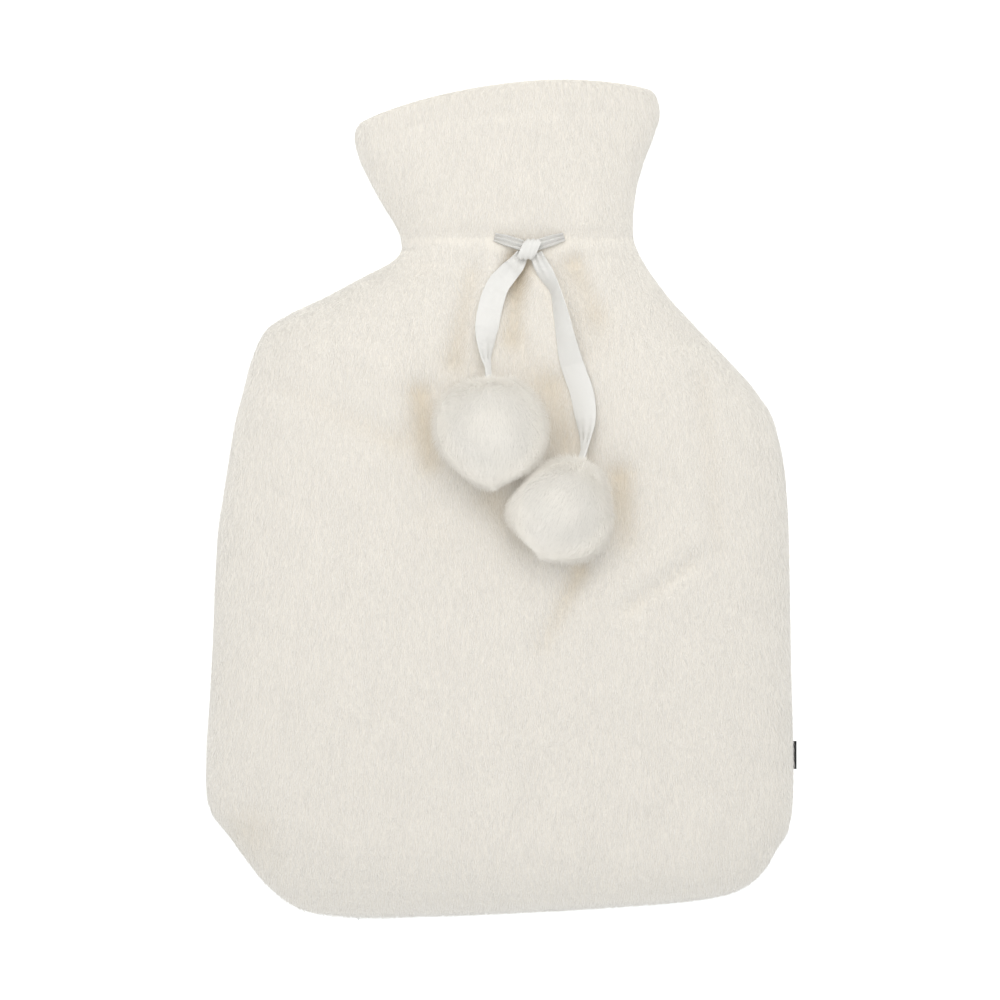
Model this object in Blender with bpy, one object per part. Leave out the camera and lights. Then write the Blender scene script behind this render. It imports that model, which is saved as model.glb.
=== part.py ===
"""Plush cover for a hot water bottle, filled out and lying on its back.

+Z points out of its front, +Y runs towards its mouth, and +X is to the right, seen from the front. The
origin is on the surface that it lies on, under the middle of its box. Shapes are laid out in
millimetres, and each mesh is scaled to metres when it is done.
"""

import math
import random
from bisect import bisect_right
from collections import namedtuple

import bmesh
import bpy
from mathutils import Euler, Vector
from mathutils.bvhtree import BVHTree

MM = 0.001
GAP = 0.3  # between pieces that touch
UP = Vector((0, 0, 1))

# The cloth of the two panels
WALL = 7.0  # woven back, with the pile that stands on it
HEM_WALL = 9.0  # the same, turned in round the mouth
HEM_DEPTH = 15.0  # from the mouth's edge to the hem's stitching
HEM_GROOVE = 0.6
STITCH_HALF = 2.5
RIM_TURN = 0.75  # how much of half the hem's thickness each face turns in at the mouth's edge
BOTTOM_ROLL = 36.0  # how far in from the bottom edge the cover comes to its full height
SEAM_LIP = 2.2  # the pile parts this far above and below the seam
SEAM_TUCK = 2.0  # and this far in
NECK_LINE = 284.0  # the cinched channel, from the bottom edge
NECK_CREASE = 2.0
CREASE_HALF = 4.0
COLLAR_WAVE = 1.4  # how far the collar's front stands higher and lower along the mouth
WAVE_TURNS = 4.6
WAVE_START = 0.8
BOW_POWER = 2.2

# Each row is a line across the cover. along is how far up the middle it lies from the bottom edge, then
# come its two ends, how far its middle bows towards the mouth, the seam's height, how far the front
# rises over the seam and the back drops below it, and how square the section is.
Section = namedtuple("Section", "name along left_x left_y right_x right_y bow seam front back square")
SECTIONS = [
    Section("bottom_edge", 0.0, -60.0, -175.7, 58.0, -170.3, -0.9, 21, 23.5, 23, 3.2),
    Section("corner_turn", 1.8, -81.0, -173.3, 80.0, -168.6, -1.1, 21, 23.5, 23, 3.2),
    Section("corner_low", 6.3, -92.5, -167.0, 93.5, -166.3, -1.0, 21, 23.6, 23, 3.2),
    Section("corner_in", 12.5, -101.0, -159.0, 103.5, -162.4, -0.7, 21, 23.7, 24, 3.2),
    Section("corner_cut", 20.0, -107.5, -150.5, 110.8, -156.0, -0.7, 21, 23.8, 24, 3.2),
    Section("corner_out", 30.0, -115.0, -140.3, 116.5, -146.4, -0.6, 21, 24.0, 24, 3.3),
    Section("corner_high", 38.5, -121.5, -131.8, 121.0, -139.0, 0.0, 21, 24.2, 25, 3.4),
    Section("corner_top", 48.9, -123.6, -124.0, 123.0, -126.0, 0.0, 21, 24.5, 25, 3.5),
    Section("low_side", 59.0, -123.9, -116.5, 123.2, -113.3, 0.0, 21, 24.8, 25, 3.6),
    Section("low_middle", 107.0, -121.4, -67.0, 122.2, -67.0, 0.0, 21, 25.8, 25, 3.7),
    Section("middle", 157.0, -119.1, -17.0, 121.3, -17.0, 0.0, 21, 26.0, 25, 3.7),
    Section("high_middle", 182.0, -115.6, 8.0, 120.0, 8.0, 0.0, 21, 26.0, 25, 3.7),
    Section("chest", 207.0, -111.5, 33.0, 115.0, 33.0, 0.0, 21, 25.8, 25, 3.6),
    Section("right_shoulder", 220.0, -108.1, 46.0, 107.0, 46.0, 0.0, 20.8, 25.5, 24, 3.5),
    Section("both_shoulders", 232.5, -104.8, 58.6, 95.9, 58.6, 0.0, 20.4, 24.8, 24, 3.3),
    Section("left_shoulder", 245.0, -99.0, 71.2, 83.6, 71.2, 0.0, 19.8, 23.4, 23, 3.0),
    Section("shoulder_turn", 251.4, -90.0, 77.5, 77.8, 77.5, 0.0, 19.4, 22.4, 22, 2.9),
    Section("shoulder_slope", 258.5, -75.0, 84.6, 71.3, 84.6, 0.0, 18.8, 21.0, 20, 2.8),
    Section("neck_flare", 268.6, -56.2, 94.7, 63.8, 94.7, 0.0, 18.0, 19.0, 18, 2.6),
    Section("neck_turn", 273.7, -46.4, 99.8, 60.6, 99.8, 0.0, 17.5, 18.0, 17, 2.5),
    Section("neck", 279.0, -41.8, 105.2, 57.9, 105.0, 0.0, 17.2, 17.4, 16.5, 2.5),
    Section("channel", 284.0, -42.3, 110.0, 56.2, 110.2, 0.0, 17.0, 17.2, 16.2, 2.5),
    Section("collar_foot", 291.0, -44.6, 115.2, 56.1, 117.0, 1.0, 17.0, 17.4, 16.5, 2.5),
    Section("collar_low", 303.0, -50.3, 124.5, 57.3, 129.0, 2.3, 17.2, 18.0, 17.5, 2.6),
    Section("collar", 316.0, -56.0, 135.0, 60.6, 141.5, 3.9, 17.5, 18.4, 18.5, 2.7),
    Section("collar_high", 329.0, -60.2, 144.5, 64.8, 152.5, 6.6, 17.8, 18.6, 19.5, 2.8),
    Section("hem", 338.0, -61.8, 152.2, 67.4, 162.0, 7.0, 18.0, 18.6, 20, 2.8),
    Section("mouth", 350.0, -58.8, 160.6, 65.0, 173.5, 8.0, 18.0, 18.4, 20, 2.8),
]
LENGTH = SECTIONS[-1].along

# Lines across are taken this close together up to each zone's end, past the rolled bottom.
Zone = namedtuple("Zone", "name end spacing")
ZONES = [
    Zone("body", 232.0, 17.0),
    Zone("shoulders", 298.0, 6.0),
    Zone("collar", 341.0, 8.6),
]
ROLL_LINES = 7
RIM_LINES = [4.5, 1.3, 0.0]  # back from the mouth's edge, where the rim turns in

# Soft folds of the front: troughs from start to end, or round dents where those meet. A negative depth
# is a ridge.
Fold = namedtuple("Fold", "name start_x start_y end_x end_y start_depth end_depth half_width")
FOLDS = [
    Fold("cinch_pinch", 7.0, 99.0, 5.0, 68.0, 6.2, 2.0, 6.0),
    Fold("pinch_run", 5.0, 66.0, 14.0, 52.0, 1.8, 1.2, 9.0),
    Fold("middle_gather", 24.0, 94.0, 34.0, 62.0, 1.6, 1.4, 11.0),
    Fold("right_gather", 31.0, 99.0, 41.0, 76.5, 3.2, 2.2, 5.5),
    Fold("right_gather_run", 41.0, 76.5, 52.0, 54.0, 2.2, 0.4, 8.0),
    Fold("left_gather", -12.0, 94.0, -19.0, 58.0, 2.4, 1.6, 7.0),
    Fold("left_shoulder_gather", -31.0, 97.0, -50.0, 68.0, 1.6, 0.2, 9.0),
    Fold("left_pompom_bed", -3.6, 27.8, -3.6, 27.8, 6.0, 6.0, 25.0),
    Fold("right_pompom_bed", 25.3, -4.4, 25.3, -4.4, 5.8, 5.8, 23.0),
    Fold("bed_left_edge", -37.0, 33.0, -31.0, 10.0, 3.4, 1.4, 8.5),
    Fold("bed_low_edge", -8.0, 0.0, 3.0, -14.0, 3.2, 2.4, 9.0),
    Fold("bed_right_edge", 49.0, 6.0, 52.0, -16.0, 3.2, 1.4, 8.0),
    Fold("bed_between", 22.0, 46.0, 27.0, 25.0, 2.8, 2.4, 8.5),
    Fold("low_crease", 35.0, -27.0, 18.0, -56.0, 2.6, 0.6, 6.5),
    Fold("left_dent", -31.0, -6.0, -14.0, -26.0, 1.5, 0.8, 9.0),
    Fold("left_drag", -86.0, 41.0, -44.0, 21.0, 0.8, 1.4, 10.0),
    Fold("right_crease", 79.0, -30.0, 54.0, -50.0, 1.8, 0.8, 7.0),
    Fold("right_ridge", 80.0, -20.0, 62.0, -32.0, -1.2, -0.8, 8.0),
    Fold("right_fall", 84.0, 50.0, 86.0, -10.0, 0.7, 0.7, 10.0),
    Fold("slack_corner", -104.0, -138.0, -96.0, -150.0, 2.4, 1.6, 16.0),
]
LINING_SHARE = 0.5  # how much of a fold shows inside

# The two panels, with the number of cells across each
Panel = namedtuple("Panel", "name side columns")
PANELS = [Panel("front_panel", 1, 28), Panel("back_panel", -1, 18)]
COLUMN_CROWD = 1.5  # over 1 crowds the columns towards the sides

# Pompoms: place, size over the locks' tips, how far the lowest locks are pressed, where the ribbon goes
# in, from the middle, and how the locks' pattern is turned
Pompom = namedtuple("Pompom", "name x y radius pressed tie_x tie_y tie_drop turn_x turn_y")
POMPOMS = [
    Pompom("pompom_left", -3.6, 27.8, 24.8, 7.5, -0.4, 21.0, 6.5, 0.6, 0.3),
    Pompom("pompom_right", 25.3, -4.4, 22.8, 7.0, 8.7, 18.8, 5.4, 0.9, 0.5),
]
CORE_SHARE = 0.56  # the core's radius against the pompom's
LOCK_GRID = 5  # locks along each side of the six faces that a core starts from
LOCK_TIP = 1.12  # a lock's width at its end, against its root
LOCK_POINT = 1.2
LOCK_LEAN = 1.1
ROOT_SHIFT = 0.55  # how far the locks' roots stray from an even grid
LENGTH_SPREAD = 1.3
TIE_NOTCH = math.radians(21)  # no locks grow closer than this to the ribbon
LOCK_CLEAR = 0.45
SHORTEST_LOCK = 0.6

# The satin ribbon. Its width narrows where it is gathered, roll turns it about its own run in degrees,
# and lift holds it off the plush.
RIBBON_THICK = 1.0
STRIP_STEPS = 2  # sections of the strip for each row below
FOOT_SPREAD = 2.0  # a section rests on the plush this far before and behind it too
Bend = namedtuple("Bend", "x y width roll lift")
LEFT_TAIL = [
    Bend(9.2, 102.4, 5.0, 0, 2.4),
    Bend(6.8, 98.4, 7.4, 12, 1.4),
    Bend(2.8, 93.8, 9.4, 22, 0.6),
    Bend(-1.2, 88.6, 10.0, 18, 0.3),
    Bend(-3.6, 82.0, 10.0, 2, 0.3),
    Bend(-5.2, 74.6, 10.0, -4, 0.4),
    Bend(-6.0, 67.0, 9.6, -32, 0.8),
    Bend(-6.0, 60.2, 8.0, -52, 1.4),
    Bend(-5.3, 54.4, 5.4, -68, 3.2),
]
RIGHT_TAIL = [
    Bend(14.8, 102.4, 5.0, 0, 2.4),
    Bend(16.4, 98.4, 7.0, 30, 1.4),
    Bend(18.9, 93.6, 9.2, 56, 0.6),
    Bend(22.6, 86.4, 10.0, 84, 0.3),
    Bend(25.2, 75.4, 10.0, 62, 0.3),
    Bend(26.8, 67.2, 10.0, 42, 0.4),
    Bend(28.6, 59.2, 10.0, 26, 0.4),
    Bend(31.0, 51.8, 10.0, 18, 0.4),
    Bend(33.6, 44.2, 10.0, 16, 0.4),
    Bend(34.8, 37.2, 9.8, 20, 0.5),
    Bend(35.2, 31.4, 9.0, 34, 0.9),
    Bend(35.0, 25.6, 7.4, 52, 1.8),
    Bend(34.6, 20.2, 5.2, 66, 3.8),
]
LEFT_WING = [Bend(9.0, 105.8, 4.6, 0, 2.2), Bend(3.6, 107.6, 4.6, 0, 0.6), Bend(-2.5, 109.4, 3.6, 0, 0.0)]
RIGHT_WING = [Bend(15.0, 105.8, 4.6, 0, 2.2), Bend(20.4, 107.6, 4.6, 0, 0.6), Bend(26.5, 109.6, 3.6, 0, 0.0)]
TAIL_END_WIDTH = 3.4
END_GAP = 0.6  # from a tail's end to the core that it is sewn to
KNOT_X, KNOT_Y = 12.0, 104.0
KNOT_SIZE = (13.0, 9.0, 5.4)
KNOT_ROUND = 1.9

# The blank tab in the right side seam
LABEL_ALONG = 64.0
LABEL_LENGTH = 12.0
LABEL_DEPTH = 2.7
LABEL_THICK = 0.9
LABEL_ROUND = 0.36
LABEL_PROUD = 1.1  # past the plush beside it

Finish = namedtuple("Finish", "name colour roughness sheen")
PLUSH = Finish("plush", (0.83, 0.77, 0.69), 0.95, 0.4)
POMPOM_PLUSH = Finish("pompom_plush", (0.86, 0.83, 0.77), 0.95, 0.4)
SATIN = Finish("satin_ribbon", (0.88, 0.87, 0.83), 0.4, 0.0)
LABEL_CLOTH = Finish("label_cloth", (0.02, 0.02, 0.022), 0.8, 0.0)


def smooth_step(low, high, value):
    """0 below low, 1 above high, and a soft slope between them."""
    share = min(max((value - low) / (high - low), 0.0), 1.0)
    return share * share * (3 - 2 * share)


def eased(keys, values, key):
    """A smooth curve through the values that never passes beyond two neighbours."""
    spans = [b - a for a, b in zip(keys, keys[1:])]
    rates = [(b - a) / span for a, b, span in zip(values, values[1:], spans)]

    def slope(index):
        if index in (0, len(keys) - 1):
            return rates[0] if index == 0 else rates[-1]
        before, after = rates[index - 1], rates[index]
        return 2 * before * after / (before + after) if before * after > 0 else 0.0

    i = min(max(bisect_right(keys, key) - 1, 0), len(spans) - 1)
    t = min(max((key - keys[i]) / spans[i], 0.0), 1.0)
    start = values[i] + slope(i) * spans[i] * t * (1 - t)
    end = values[i + 1] - slope(i + 1) * spans[i] * t * (1 - t)
    blend = t * t * (3 - 2 * t)
    return start * (1 - blend) + end * blend


def table_row(rows, keys, key):
    """A row of a table at a place between its rows, with every number eased."""
    columns = zip(*rows)
    return type(rows[0])(*[c[0] if isinstance(c[0], str) else eased(keys, c, key) for c in columns])


def section(along):
    return table_row(SECTIONS, [row.along for row in SECTIONS], min(max(along, 0.0), LENGTH))


def line_places():
    """How far up the cover each line across lies."""
    places = [BOTTOM_ROLL * (1 - math.cos(math.pi / 2 * i / ROLL_LINES)) for i in range(ROLL_LINES + 1)]
    for zone in ZONES:
        start = places[-1]
        count = round((zone.end - start) / zone.spacing)
        places += [start + (zone.end - start) * (i + 1) / count for i in range(count)]
    return places + [LENGTH - back for back in RIM_LINES]


def wall_at(along):
    hem = smooth_step(LENGTH - HEM_DEPTH - 3, LENGTH - HEM_DEPTH + 1, along)
    return WALL + (HEM_WALL - WALL) * hem


def rim_turn(along):
    """How far the rim has turned in from the cloth's outer face."""
    radius = HEM_WALL / 2
    share = max(0.0, 1 - (LENGTH - along) / radius)
    return RIM_TURN * radius * (1 - math.sqrt(1 - share * share))


def groove_at(along):
    """The depth of the neck's channel and of the hem's stitching, in the outer face only."""
    neck = NECK_CREASE * math.exp(-(((along - NECK_LINE) / CREASE_HALF) ** 2))
    stitch = HEM_GROOVE * math.exp(-(((along - LENGTH + HEM_DEPTH) / STITCH_HALF) ** 2))
    return neck + stitch


Line = namedtuple("Line", "along left right row inset fill")


def line_across(along, inset):
    """A line across the cover, with its ends set in from the outline."""
    row, below, above = section(along), section(along - 0.5), section(along + 0.5)
    left_run = Vector((above.left_x - below.left_x, above.left_y - below.left_y)).normalized()
    right_run = Vector((above.right_x - below.right_x, above.right_y - below.right_y)).normalized()
    left = Vector((row.left_x, row.left_y)) + inset * Vector((left_run.y, -left_run.x))
    right = Vector((row.right_x, row.right_y)) + inset * Vector((-right_run.y, right_run.x))
    rolled = min(along / BOTTOM_ROLL, 1.0)
    return Line(along, left, right, row, inset, math.sqrt(rolled * (2 - rolled)))


def fold_depth(point):
    """How deep the folds are at a point of the front."""
    total = 0.0
    for fold in FOLDS:
        start, end = Vector((fold.start_x, fold.start_y)), Vector((fold.end_x, fold.end_y))
        run = end - start
        share = min(max((point - start).dot(run) / max(run.length_squared, 1e-6), 0.0), 1.0)
        apart = (point - start - run * share).length / fold.half_width
        total += (fold.start_depth + (fold.end_depth - fold.start_depth) * share) * math.exp(-apart * apart)
    return total


def place(line, s, side, is_lining, in_seam):
    """A point of a cloth's face, where s runs from -1 at the left edge to 1 at the right."""
    row, inset = line.row, line.inset
    point = line.left.lerp(line.right, (1 + s) / 2)
    point.y += row.bow * (1 - abs(s) ** BOW_POWER)
    if in_seam:
        return Vector((*point, row.seam + side * GAP / 2))
    full = line.fill * math.sqrt(max(0.0, 1 - abs(s) ** row.square))
    groove = 0.0 if is_lining else groove_at(line.along)
    if side < 0:
        lowest = inset + groove
        return Vector((*point, max(lowest, row.seam - SEAM_LIP - (row.back - SEAM_LIP - inset) * full)))
    inner = 1 - s**4
    wave = COLLAR_WAVE * math.sin(WAVE_TURNS * s + WAVE_START) * smooth_step(NECK_LINE, LENGTH, line.along)
    folds = (LINING_SHARE if is_lining else 1.0) * fold_depth(point) + groove - wave
    rise = (row.front - SEAM_LIP - inset) * full
    return Vector((*point, row.seam + SEAM_LIP + rise - folds * inner * line.fill))


def add_cloth_face(bm, panel, is_lining):
    """Adds one face of a panel's cloth: an open grid whose outer ring lies in the seam."""
    places = line_places()
    across, up = panel.columns + 2, len(places)
    grid = bmesh.ops.create_grid(bm, x_segments=across, y_segments=up, size=1)
    tuck = 0.0 if is_lining else SEAM_TUCK
    for vert in grid["verts"]:
        column = round((vert.co.x + 1) / 2 * across)
        index = round((vert.co.y + 1) / 2 * up)
        in_seam = column in (0, across) or index == 0
        along = places[max(index - 1, 0)]
        flat = min(max((column - 1) / panel.columns * 2 - 1, -1.0), 1.0)
        s = math.copysign(1 - (1 - abs(flat)) ** COLUMN_CROWD, flat)
        turn = rim_turn(along)
        inset = wall_at(along) - turn if is_lining else turn
        line = line_across(along, inset + (tuck if in_seam else 0.0))
        vert.co = place(line, s, panel.side, is_lining, in_seam)


def panel_mesh(panel):
    """A panel's cloth, open at its seam and mouth only by the edges that close it there."""
    bm = bmesh.new()
    add_cloth_face(bm, panel, is_lining=False)
    add_cloth_face(bm, panel, is_lining=True)
    open_edges = [edge for edge in bm.edges if edge.is_boundary]
    bmesh.ops.bridge_loops(bm, edges=open_edges)
    bmesh.ops.recalc_face_normals(bm, faces=bm.faces[:])
    return bm


def height_over(tree, x, y):
    """The height of the front under a point, or the surface that the cover lies on."""
    hit = tree.ray_cast(Vector((x, y, 500)), -UP)[0]
    return hit.z if hit else 0.0


Ball = namedtuple("Ball", "middle radius core tie")


def seated_ball(pompom, tree):
    """A pompom's middle, its radii and the direction in which the ribbon leaves it."""
    level = height_over(tree, pompom.x, pompom.y) + pompom.radius - pompom.pressed
    tie = Vector((pompom.tie_x, pompom.tie_y, -pompom.tie_drop)).normalized()
    return Ball(Vector((pompom.x, pompom.y, level)), pompom.radius, pompom.radius * CORE_SHARE, tie)


def is_clear(point, ball, other, tree):
    """Whether a point of a pompom is clear of the plush under it and of its neighbour."""
    between = other.middle - ball.middle
    half_way = (between.length + ball.radius - other.radius) / 2 - LOCK_CLEAR / 2
    if (point - ball.middle).dot(between.normalized()) > half_way:
        return False
    return point.z > height_over(tree, point.x, point.y) + LOCK_CLEAR


def pompom_mesh(pompom, ball, other, tree):
    """A core with tapered locks that stand apart down to their roots."""
    chance = random.Random(pompom.name)
    bm = bmesh.new()
    bmesh.ops.create_cube(bm, size=2)
    bmesh.ops.subdivide_edges(bm, edges=bm.edges[:], cuts=LOCK_GRID - 1, use_grid_fill=True)
    for vert in bm.verts:
        even = Vector([math.tan(value * math.pi / 4) for value in vert.co]).normalized() * ball.core
        stray = Vector([chance.uniform(-ROOT_SHIFT, ROOT_SHIFT) for _ in range(3)])
        vert.co = (even + stray).normalized() * ball.core
    bmesh.ops.rotate(bm, verts=bm.verts[:], matrix=Euler((pompom.turn_x, pompom.turn_y, 0)).to_matrix())
    roots = [face for face in bm.faces if face.calc_center_median().angle(ball.tie) > TIE_NOTCH]
    tips = bmesh.ops.extrude_discrete_faces(bm, faces=roots)["faces"]
    for tip in tips:
        root = tip.calc_center_median()
        lean = Vector([chance.uniform(-LOCK_LEAN, LOCK_LEAN) for _ in range(3)])
        reach = ball.radius - ball.core - LOCK_POINT - chance.uniform(0, LENGTH_SPREAD)
        corners = [vert.co - root for vert in tip.verts]
        way = root.normalized() * reach + lean
        while way.length > SHORTEST_LOCK:
            widen = 1 + (LOCK_TIP - 1) * way.length / reach
            placed = [ball.middle + root + way + corner * widen for corner in corners]
            peak = ball.middle + root + way + root.normalized() * LOCK_POINT
            if all(is_clear(point, ball, other, tree) for point in placed + [peak]):
                break
            way *= 0.93
        widen = 1 + (LOCK_TIP - 1) * way.length / reach
        for vert, corner in zip(tip.verts, corners):
            vert.co = root + way + corner * widen
    bmesh.ops.poke(bm, faces=tips, offset=LOCK_POINT)
    bmesh.ops.translate(bm, verts=bm.verts[:], vec=ball.middle)
    bmesh.ops.recalc_face_normals(bm, faces=bm.faces[:])
    return bm


def strip_corners(bend, heading, tree, level=None):
    """The four corners of the ribbon's cross-section, resting on the plush unless a level is given."""
    across = Vector((-heading.y, heading.x, 0)).normalized()
    roll = math.radians(bend.roll)
    wide = across * math.cos(roll) + UP * math.sin(roll)
    thick = UP * math.cos(roll) - across * math.sin(roll)
    spread = [
        wide * (bend.width / 2 * a) + thick * (RIBBON_THICK / 2 * b)
        for a, b in ((-1, -1), (1, -1), (1, 1), (-1, 1))
    ]
    if level is None:
        middle = Vector((bend.x, bend.y, 0))
        runs = [heading.to_3d() * step for step in (-FOOT_SPREAD, 0, FOOT_SPREAD)]
        feet = [middle + run + spread[0].lerp(spread[1], i / 4) for run in runs for i in range(5)]
        level = max(height_over(tree, foot.x, foot.y) - foot.z for foot in feet) + GAP + bend.lift
    return [Vector((bend.x, bend.y, level)) + step for step in spread]


def strip_mesh(bends, tree, end=None):
    """A ribbon swept along its bends, and on to an end inside a pompom where one is given."""
    keys = list(range(len(bends)))
    steps = [i / STRIP_STEPS for i in range(STRIP_STEPS * (len(bends) - 1) + 1)]
    rings = []
    for t in steps:
        before, after = table_row(bends, keys, t - 0.25), table_row(bends, keys, t + 0.25)
        heading = Vector((after.x - before.x, after.y - before.y, 0)).normalized()
        rings.append(strip_corners(table_row(bends, keys, t), heading, tree))
    if end:
        last = bends[-1]
        inside = Bend(end.x, end.y, TAIL_END_WIDTH, last.roll, 0)
        rings.append(strip_corners(inside, heading, tree, level=end.z))
    bm = bmesh.new()
    bmesh.ops.create_grid(bm, x_segments=1, y_segments=1, size=1)
    face = bm.faces[:][0]
    for vert, corner in zip(face.verts, rings[0]):
        vert.co = corner
    for count, ring in enumerate(rings[1:]):
        made = bmesh.ops.extrude_face_region(bm, geom=[face])["geom"]
        if count:
            bmesh.ops.delete(bm, geom=[face], context="FACES_ONLY")
        face = next(item for item in made if isinstance(item, bmesh.types.BMFace))
        for vert, corner in zip(face.verts, ring):
            vert.co = corner
    bmesh.ops.recalc_face_normals(bm, faces=bm.faces[:])
    return bm


def knot_mesh(tree):
    """The flat knot that the tails leave."""
    bm = bmesh.new()
    bmesh.ops.create_cube(bm, size=1)
    bmesh.ops.scale(bm, vec=KNOT_SIZE, verts=bm.verts[:])
    bmesh.ops.bevel(
        bm, geom=bm.edges[:], offset=KNOT_ROUND, segments=2, profile=0.5, affect="EDGES", material=-1
    )
    half_x, half_y, half_z = (size / 2 for size in KNOT_SIZE)
    steps = [i / 3 for i in range(-3, 4)]
    under = [height_over(tree, KNOT_X + half_x * a, KNOT_Y + half_y * b) for a in steps for b in steps]
    bmesh.ops.translate(bm, verts=bm.verts[:], vec=(KNOT_X, KNOT_Y, max(under) + GAP + half_z))
    return bm


def label_mesh():
    """The side tab, rooted in the groove of the seam and folded round at its outer edge."""
    row = section(LABEL_ALONG)
    bm = bmesh.new()
    bmesh.ops.create_cube(bm, size=1)
    bmesh.ops.scale(bm, vec=(LABEL_DEPTH, LABEL_LENGTH, LABEL_THICK), verts=bm.verts[:])
    outer = [edge for edge in bm.edges if all(v.co.x > 0 for v in edge.verts)]
    fold = [edge for edge in outer if abs(edge.verts[0].co.y - edge.verts[1].co.y) > 1]
    bmesh.ops.bevel(
        bm, geom=fold, offset=LABEL_ROUND, segments=2, profile=0.5, affect="EDGES", material=-1
    )
    outer_x = row.right_x + LABEL_PROUD
    middle = (outer_x - LABEL_DEPTH / 2, row.right_y, row.seam)
    bmesh.ops.translate(bm, verts=bm.verts[:], vec=middle)
    return bm


def finish_material(finish):
    material = bpy.data.materials.get(finish.name)
    if material is None:
        material = bpy.data.materials.new(finish.name)
        material.use_nodes = True
        shader = material.node_tree.nodes["Principled BSDF"]
        shader.inputs["Base Color"].default_value = (*finish.colour, 1.0)
        shader.inputs["Roughness"].default_value = finish.roughness
        shader.inputs["Sheen Weight"].default_value = finish.sheen
        shader.inputs["Metallic"].default_value = 0.0
    return material


def add_object(name, bm, finish, collection):
    """Makes an object of a mesh laid out in millimetres."""
    bmesh.ops.scale(bm, vec=(MM, MM, MM), verts=bm.verts[:])
    mesh = bpy.data.meshes.new(name)
    bm.to_mesh(mesh)
    bm.free()
    mesh.materials.append(finish_material(finish))
    obj = bpy.data.objects.new(name, mesh)
    collection.objects.link(obj)
    return obj


def join_to(obj, name, bm, cutters):
    """Joins another solid to an object."""
    other = add_object(name, bm, SATIN, cutters)
    other.hide_render = True
    other.display_type = "WIRE"
    union = obj.modifiers.new(name, "BOOLEAN")
    union.operation = "UNION"
    union.solver = "EXACT"
    union.object = other


def build_ribbon(tree, balls, collection, cutters):
    """The tie: a knot at the neck, two tails to the pompoms and two ends that go into the channel."""
    tie = add_object("ribbon_tie", knot_mesh(tree), SATIN, collection)
    ends = [ball.middle + ball.tie * (ball.core + END_GAP) for ball in balls]
    join_to(tie, "left_tail", strip_mesh(LEFT_TAIL, tree, ends[0]), cutters)
    join_to(tie, "right_tail", strip_mesh(RIGHT_TAIL, tree, ends[1]), cutters)
    join_to(tie, "left_wing", strip_mesh(LEFT_WING, tree), cutters)
    join_to(tie, "right_wing", strip_mesh(RIGHT_WING, tree), cutters)


def main():
    for obj in list(bpy.data.objects):
        bpy.data.objects.remove(obj, do_unlink=True)
    collection = bpy.data.collections.new("hot_water_bottle_cover")
    cutters = bpy.data.collections.new("cutters")
    bpy.context.scene.collection.children.link(collection)
    bpy.context.scene.collection.children.link(cutters)

    front, back = [panel_mesh(panel) for panel in PANELS]
    tree = BVHTree.FromBMesh(front)
    add_object(PANELS[0].name, front, PLUSH, collection)
    add_object(PANELS[1].name, back, PLUSH, collection)

    balls = [seated_ball(pompom, tree) for pompom in POMPOMS]
    for pompom, ball, other in zip(POMPOMS, balls, reversed(balls)):
        add_object(pompom.name, pompom_mesh(pompom, ball, other, tree), POMPOM_PLUSH, collection)

    build_ribbon(tree, balls, collection, cutters)
    add_object("side_label", label_mesh(), LABEL_CLOTH, collection)


main()
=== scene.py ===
"""Looks for the plush cover of a hot water bottle, with its satin tie and its two pompoms.

+Z points out of its front, +Y runs towards its mouth, and it lies on the plane z = 0. Shapes are laid
out in millimetres and scaled to metres as their meshes are made.
"""

import math
from collections import namedtuple
from functools import partial

import bmesh
import bpy
import numpy as np
from mathutils import Matrix, Vector
from mathutils.bvhtree import BVHTree


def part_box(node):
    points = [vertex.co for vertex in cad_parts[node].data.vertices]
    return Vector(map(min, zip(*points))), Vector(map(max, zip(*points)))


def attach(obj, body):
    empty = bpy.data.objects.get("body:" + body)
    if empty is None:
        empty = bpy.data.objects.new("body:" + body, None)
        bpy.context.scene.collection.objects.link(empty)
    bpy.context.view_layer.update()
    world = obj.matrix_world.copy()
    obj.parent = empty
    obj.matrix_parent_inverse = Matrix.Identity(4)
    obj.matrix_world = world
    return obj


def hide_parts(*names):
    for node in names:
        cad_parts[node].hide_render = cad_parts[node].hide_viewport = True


bl_info = {
    "name": "Plush bottle cover",
    "version": (1, 0, 0),
    "blender": (4, 5, 0),
    "location": "View3D > Sidebar > Cover",
    "description": "Dresses the cover with its pile, its satin tie, its pompoms and its tab",
    "category": "Object",
}

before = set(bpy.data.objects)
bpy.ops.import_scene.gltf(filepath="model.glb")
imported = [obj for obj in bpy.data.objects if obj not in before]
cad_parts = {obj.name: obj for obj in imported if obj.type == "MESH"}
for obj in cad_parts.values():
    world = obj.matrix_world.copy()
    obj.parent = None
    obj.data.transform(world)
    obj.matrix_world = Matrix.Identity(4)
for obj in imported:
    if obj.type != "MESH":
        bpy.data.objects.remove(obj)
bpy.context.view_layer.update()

MM = 0.001
GAP = 0.3  # between pieces that touch
UP = Vector((0, 0, 1))

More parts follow.
